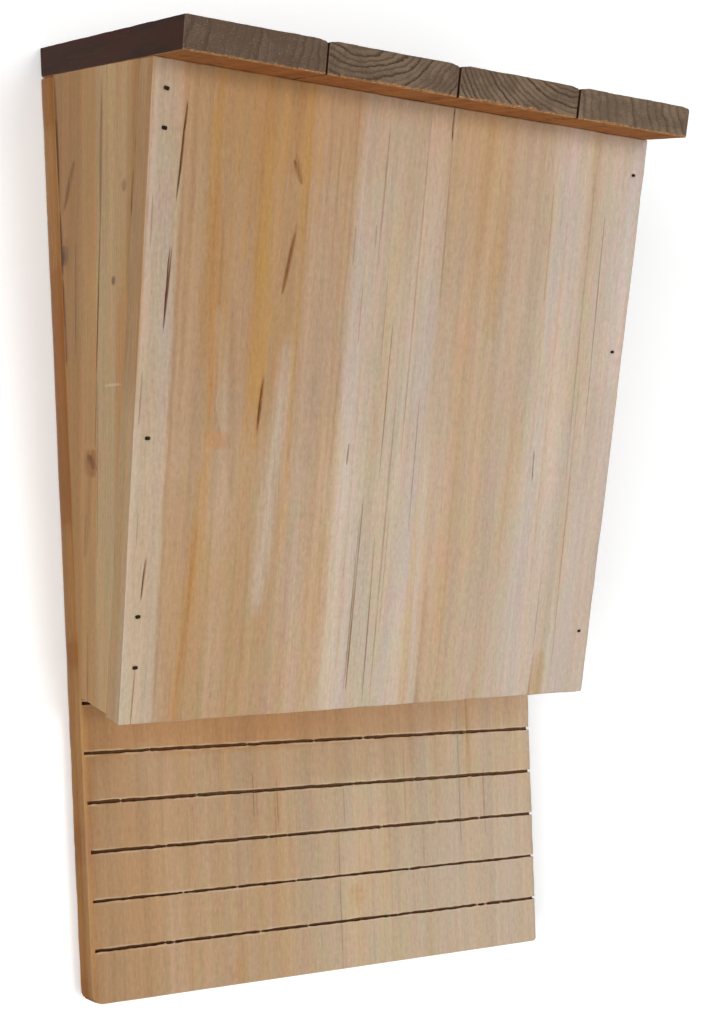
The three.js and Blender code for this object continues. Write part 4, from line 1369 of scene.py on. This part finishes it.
def plank_material():
    material, tree = new_material("weathered_planks")
    across, through, along = split(board_place(tree, (0, 0, ROOF_WALL_UP - WALL_POINT), (-SLOPE, 0, 0)))
    place = put("CombineXYZ", {"X": across, "Y": along, "Z": through})
    grain = put("Group", {"Place": place, "Sway": 1.5, "Line spacing": 2.6}, output=None, node_tree=GRAIN)
    ring = read(tree, "rings") + noise(place, 0.3, 0.3, 0.02, 4.0, 0.65) * 1.1
    own = put("TexWhiteNoise", {"W": calc("FLOOR", ring)}, noise_dimensions="1D")
    ring = calc("FRACT", ring)
    late = ramp(ring, 0.3, 0.85) * ramp(ring, 0.9, 1.0, 1.0, 0.0) * ramp(own, 0.0, 1.0, 0.35, 1.0)
    speck = noise(place, 1.8, 1.8, 1.8, 3.0, 0.7)
    patch = noise(place, 0.11, 0.16, 0.02, 3.0, 0.6)

    end_base = mix(late * (read(tree, "ring_show") * 1.05), PLANK["early"], PLANK["late"])
    end_base = mix(read(tree, "dull"), end_base, PLANK["dull"])
    end_base = lay(end_base, "end_brown", patch, 0.36, 0.62, 0.0, 0.55)
    end_base = lay(end_base, "end_dark", speck, 0.52, 0.75, 0.0, 0.5)
    end_base = lay(end_base, "end_pale", speck, 0.25, 0.44, 0.5, 0.0)

    long_level = late * 0.3 + grain["Lines"] * 0.4 + grain["Figure"] * 0.4
    long_base = mix(long_level, PLANK["brown"], PLANK["dark"])
    long_base = lay(long_base, "red", patch, 0.45, 0.6, 0.0, 0.7)
    long_base = lay(long_base, "black", patch, 0.3, 0.45, 0.7, 0.0)
    long_base = mix(grain["Flecks"] * 0.3, long_base, PLANK["fleck"])
    bleached = mix(long_level, PLANK["top_pale"], PLANK["top_dark"])
    bleached = lay(bleached, "top_brown", patch, 0.4, 0.62, 0.0, 0.6)
    top = ramp(read(tree, "height"), PLANK_THICKNESS - 0.5, PLANK_THICKNESS - 0.1)
    long_base = mix(top, long_base, bleached)

    under_base = mix(grain["Figure"], PLANK["under_pale"], PLANK["under_dark"])
    under_base = mix(grain["Lines"] * 0.4, under_base, PLANK["under_line"])
    blotch = noise(place, 0.16, 0.5, 0.5, 4.0, 0.65)
    under_base = lay(under_base, "under_red", blotch, 0.52, 0.66, 0.0, 0.7)
    under_base = lay(under_base, "under_brown", blotch, 0.34, 0.48, 0.7, 0.0)

    base = mix(read(tree, "endgrain"), long_base, end_base)
    base = mix(read(tree, "under"), base, under_base)
    # arrises paled: worn wood and a painted highlight where they catch the light
    edge = read(tree, "edge") + speck * 0.9
    base = mix(ramp(edge, 0.5, 1.0, 0.35, 0.0) * ramp(patch, 0.4, 0.6, 0.2, 1.0), base, PLANK["rubbed"])
    fringe = noise(place, 0.6, 2.6, 2.6, 4.0, 0.75)
    reach = read(tree, "torn") * 0.8 + fringe * 2.6
    shred = ramp(reach - read(tree, "height"), 0.5, 1.3, 0.0, 0.9) * read(tree, "endgrain")
    base = mix(shred, base, mix(ramp(speck, 0.45, 0.6), PLANK["torn_dark"], PLANK["torn_pale"]))
    base = lay(base, "bruise", read(tree, "dent"), 0.1, 0.8, 0.0, 0.7)
    relief = speck * 0.8 - grain["Lines"] * 0.6 + late * 0.6
    add_shader(base, 0.76 + speck * 0.2, relief, strength=0.5, distance=0.25, specular=0.1)
    return material


plank_wood = plank_material()
print(f"{plank_wood.name}: {len(PLANK)} tones, {len(plank_wood.node_tree.nodes)} nodes")
for plank in planks:
    plank.data.materials.append(plank_wood)

# %% [markdown]
# ## Steel
# The nails are plain dark steel with a little rust. The hanger plate and its screws are zinc-plated, with
# the cloudy spangle of the plating and fine scratches.

# %% Steel materials


def steel(name, light, dark, rough, cloud, specular, metallic):
    """Light and dark are the plating's two tones, rough its two roughnesses, cloud its clouds per mm."""
    material, tree = new_material(name)
    place = scaled(put("TexCoord", {}, tree, "Object"), 1 / MM, 1 / MM, 1 / MM)
    clouds = noise(place, cloud, cloud, cloud, 4.0, 0.65)
    scratch = noise(place, 6.0, 6.0, 0.35)
    base = mix(ramp(clouds, 0.35, 0.65, 0.0, 0.7) + scratch * 0.3, light, dark)
    rough = ramp(clouds + scratch * 0.4, 0.4, 0.95, *rough)
    add_shader(base, rough, scratch, strength=0.2, distance=0.05, specular=specular, metallic=metallic)
    print(f"{name}: {len(tree.nodes)} nodes")
    return material


nail_steel = steel("nail_steel", colour(54, 38, 27), colour(24, 17, 13), rough=(0.6, 0.85), cloud=1.2,
                   specular=0.1, metallic=0.0)
zinc_steel = steel("zinc_steel", colour(168, 170, 170), colour(118, 121, 124), rough=(0.34, 0.55), cloud=0.35,
                   specular=0.5, metallic=0.9)
for nail in nails:
    nail.data.materials.append(nail_steel)
for piece in hanger:
    piece.data.materials.append(zinc_steel)

# %% [markdown]
# ## Wall, floor and light
# The box hangs on a white wall, in even light from a soft lamp at the upper right and from all round.
# Wall and floor are seen only from their front, so that a look from behind isn't blocked, and they pass
# no light on, so that the lamps alone set the level.

# %% Stage
WALL_BEHIND, FLOOR_BELOW, STAGE_SIZE = 1.0, 900.0, 6000.0
STAGE_WHITE, STAGE_LIFT = (0.97, 0.97, 0.97, 1.0), 0.18


def stage_material():
    """White for the camera: a matt sheet with a little light of its own for camera rays only, so that it
    reads as white and still shows the object's shadow. From behind it is clear."""
    material, tree = new_material("stage_white")
    matt = put("BsdfDiffuse", {"Color": STAGE_WHITE}, tree)
    lift = put("LightPath", {}, tree, "Is Camera Ray") * STAGE_LIFT
    front = put("AddShader", {0: matt, 1: put("Emission", {"Color": STAGE_WHITE, "Strength": lift})})
    back = put("BsdfTransparent", {}, tree)
    behind = put("NewGeometry", {}, tree, "Backfacing")
    put("OutputMaterial", {"Surface": put("MixShader", {0: behind, 1: front, 2: back})})
    return material


def stage_sheet(name, corners, material):
    mesh = bpy.data.meshes.new(name)
    mesh.from_pydata([tuple(c * MM for c in corner) for corner in corners], [], [(0, 1, 2, 3)])
    mesh.materials.append(material)
    sheet = bpy.data.objects.new(name, mesh)
    bpy.context.scene.collection.objects.link(sheet)
    sheet.visible_shadow = sheet.visible_diffuse = sheet.visible_glossy = False
    print("stage:", name)


white = stage_material()
half, floor_z = STAGE_SIZE / 2, -FLOOR_BELOW
stage_sheet("wall", [(-half, WALL_BEHIND, floor_z), (half, WALL_BEHIND, floor_z),
                     (half, WALL_BEHIND, STAGE_SIZE), (-half, WALL_BEHIND, STAGE_SIZE)], white)
stage_sheet("floor", [(-half, -STAGE_SIZE, floor_z), (half, -STAGE_SIZE, floor_z),
                      (half, WALL_BEHIND, floor_z), (-half, WALL_BEHIND, floor_z)], white)

# %% Light
AMBIENT = 0.18
LAMPS = {  # strength, turn to the right, rise and softness in degrees
    "key": (0.8, 10, -3, 14), "left_fill": (1.72, -55, -12, 50), "low_fill": (0.78, 5, -26, 40),
    "top": (0.6, 20, 75, 60), "rear_fill": (1.5, 186, 14, 40)}


def sun(name, strength, turn, rise, soft):
    """A lamp whose light comes from a turn to the right of straight ahead and a rise above level."""
    data = bpy.data.lights.new(name, "SUN")
    data.energy, data.angle = strength, soft
    lamp = bpy.data.objects.new(name, data)
    bpy.context.scene.collection.objects.link(lamp)
    lamp.rotation_euler = (math.pi / 2 - rise, 0, turn)


for name, (strength, *angles) in LAMPS.items():
    sun(name, strength, *map(math.radians, angles))
print("lamps:", *LAMPS)
world = bpy.data.worlds.new("studio")
bpy.context.scene.world = world
world.use_nodes = True
world.node_tree.nodes.clear()
seen = put("LightPath", {}, world.node_tree, None)
clear = calc("MAXIMUM", seen["Is Camera Ray"], seen["Is Transmission Ray"])
lit, plain = (put("Background", {"Color": (1, 1, 1, 1), "Strength": strength}, world.node_tree)
              for strength in (AMBIENT, 1.0))
put("OutputWorld", {"Surface": put("MixShader", {0: clear, 1: lit, 2: plain})})
bpy.context.scene.view_settings.view_transform = "Standard"
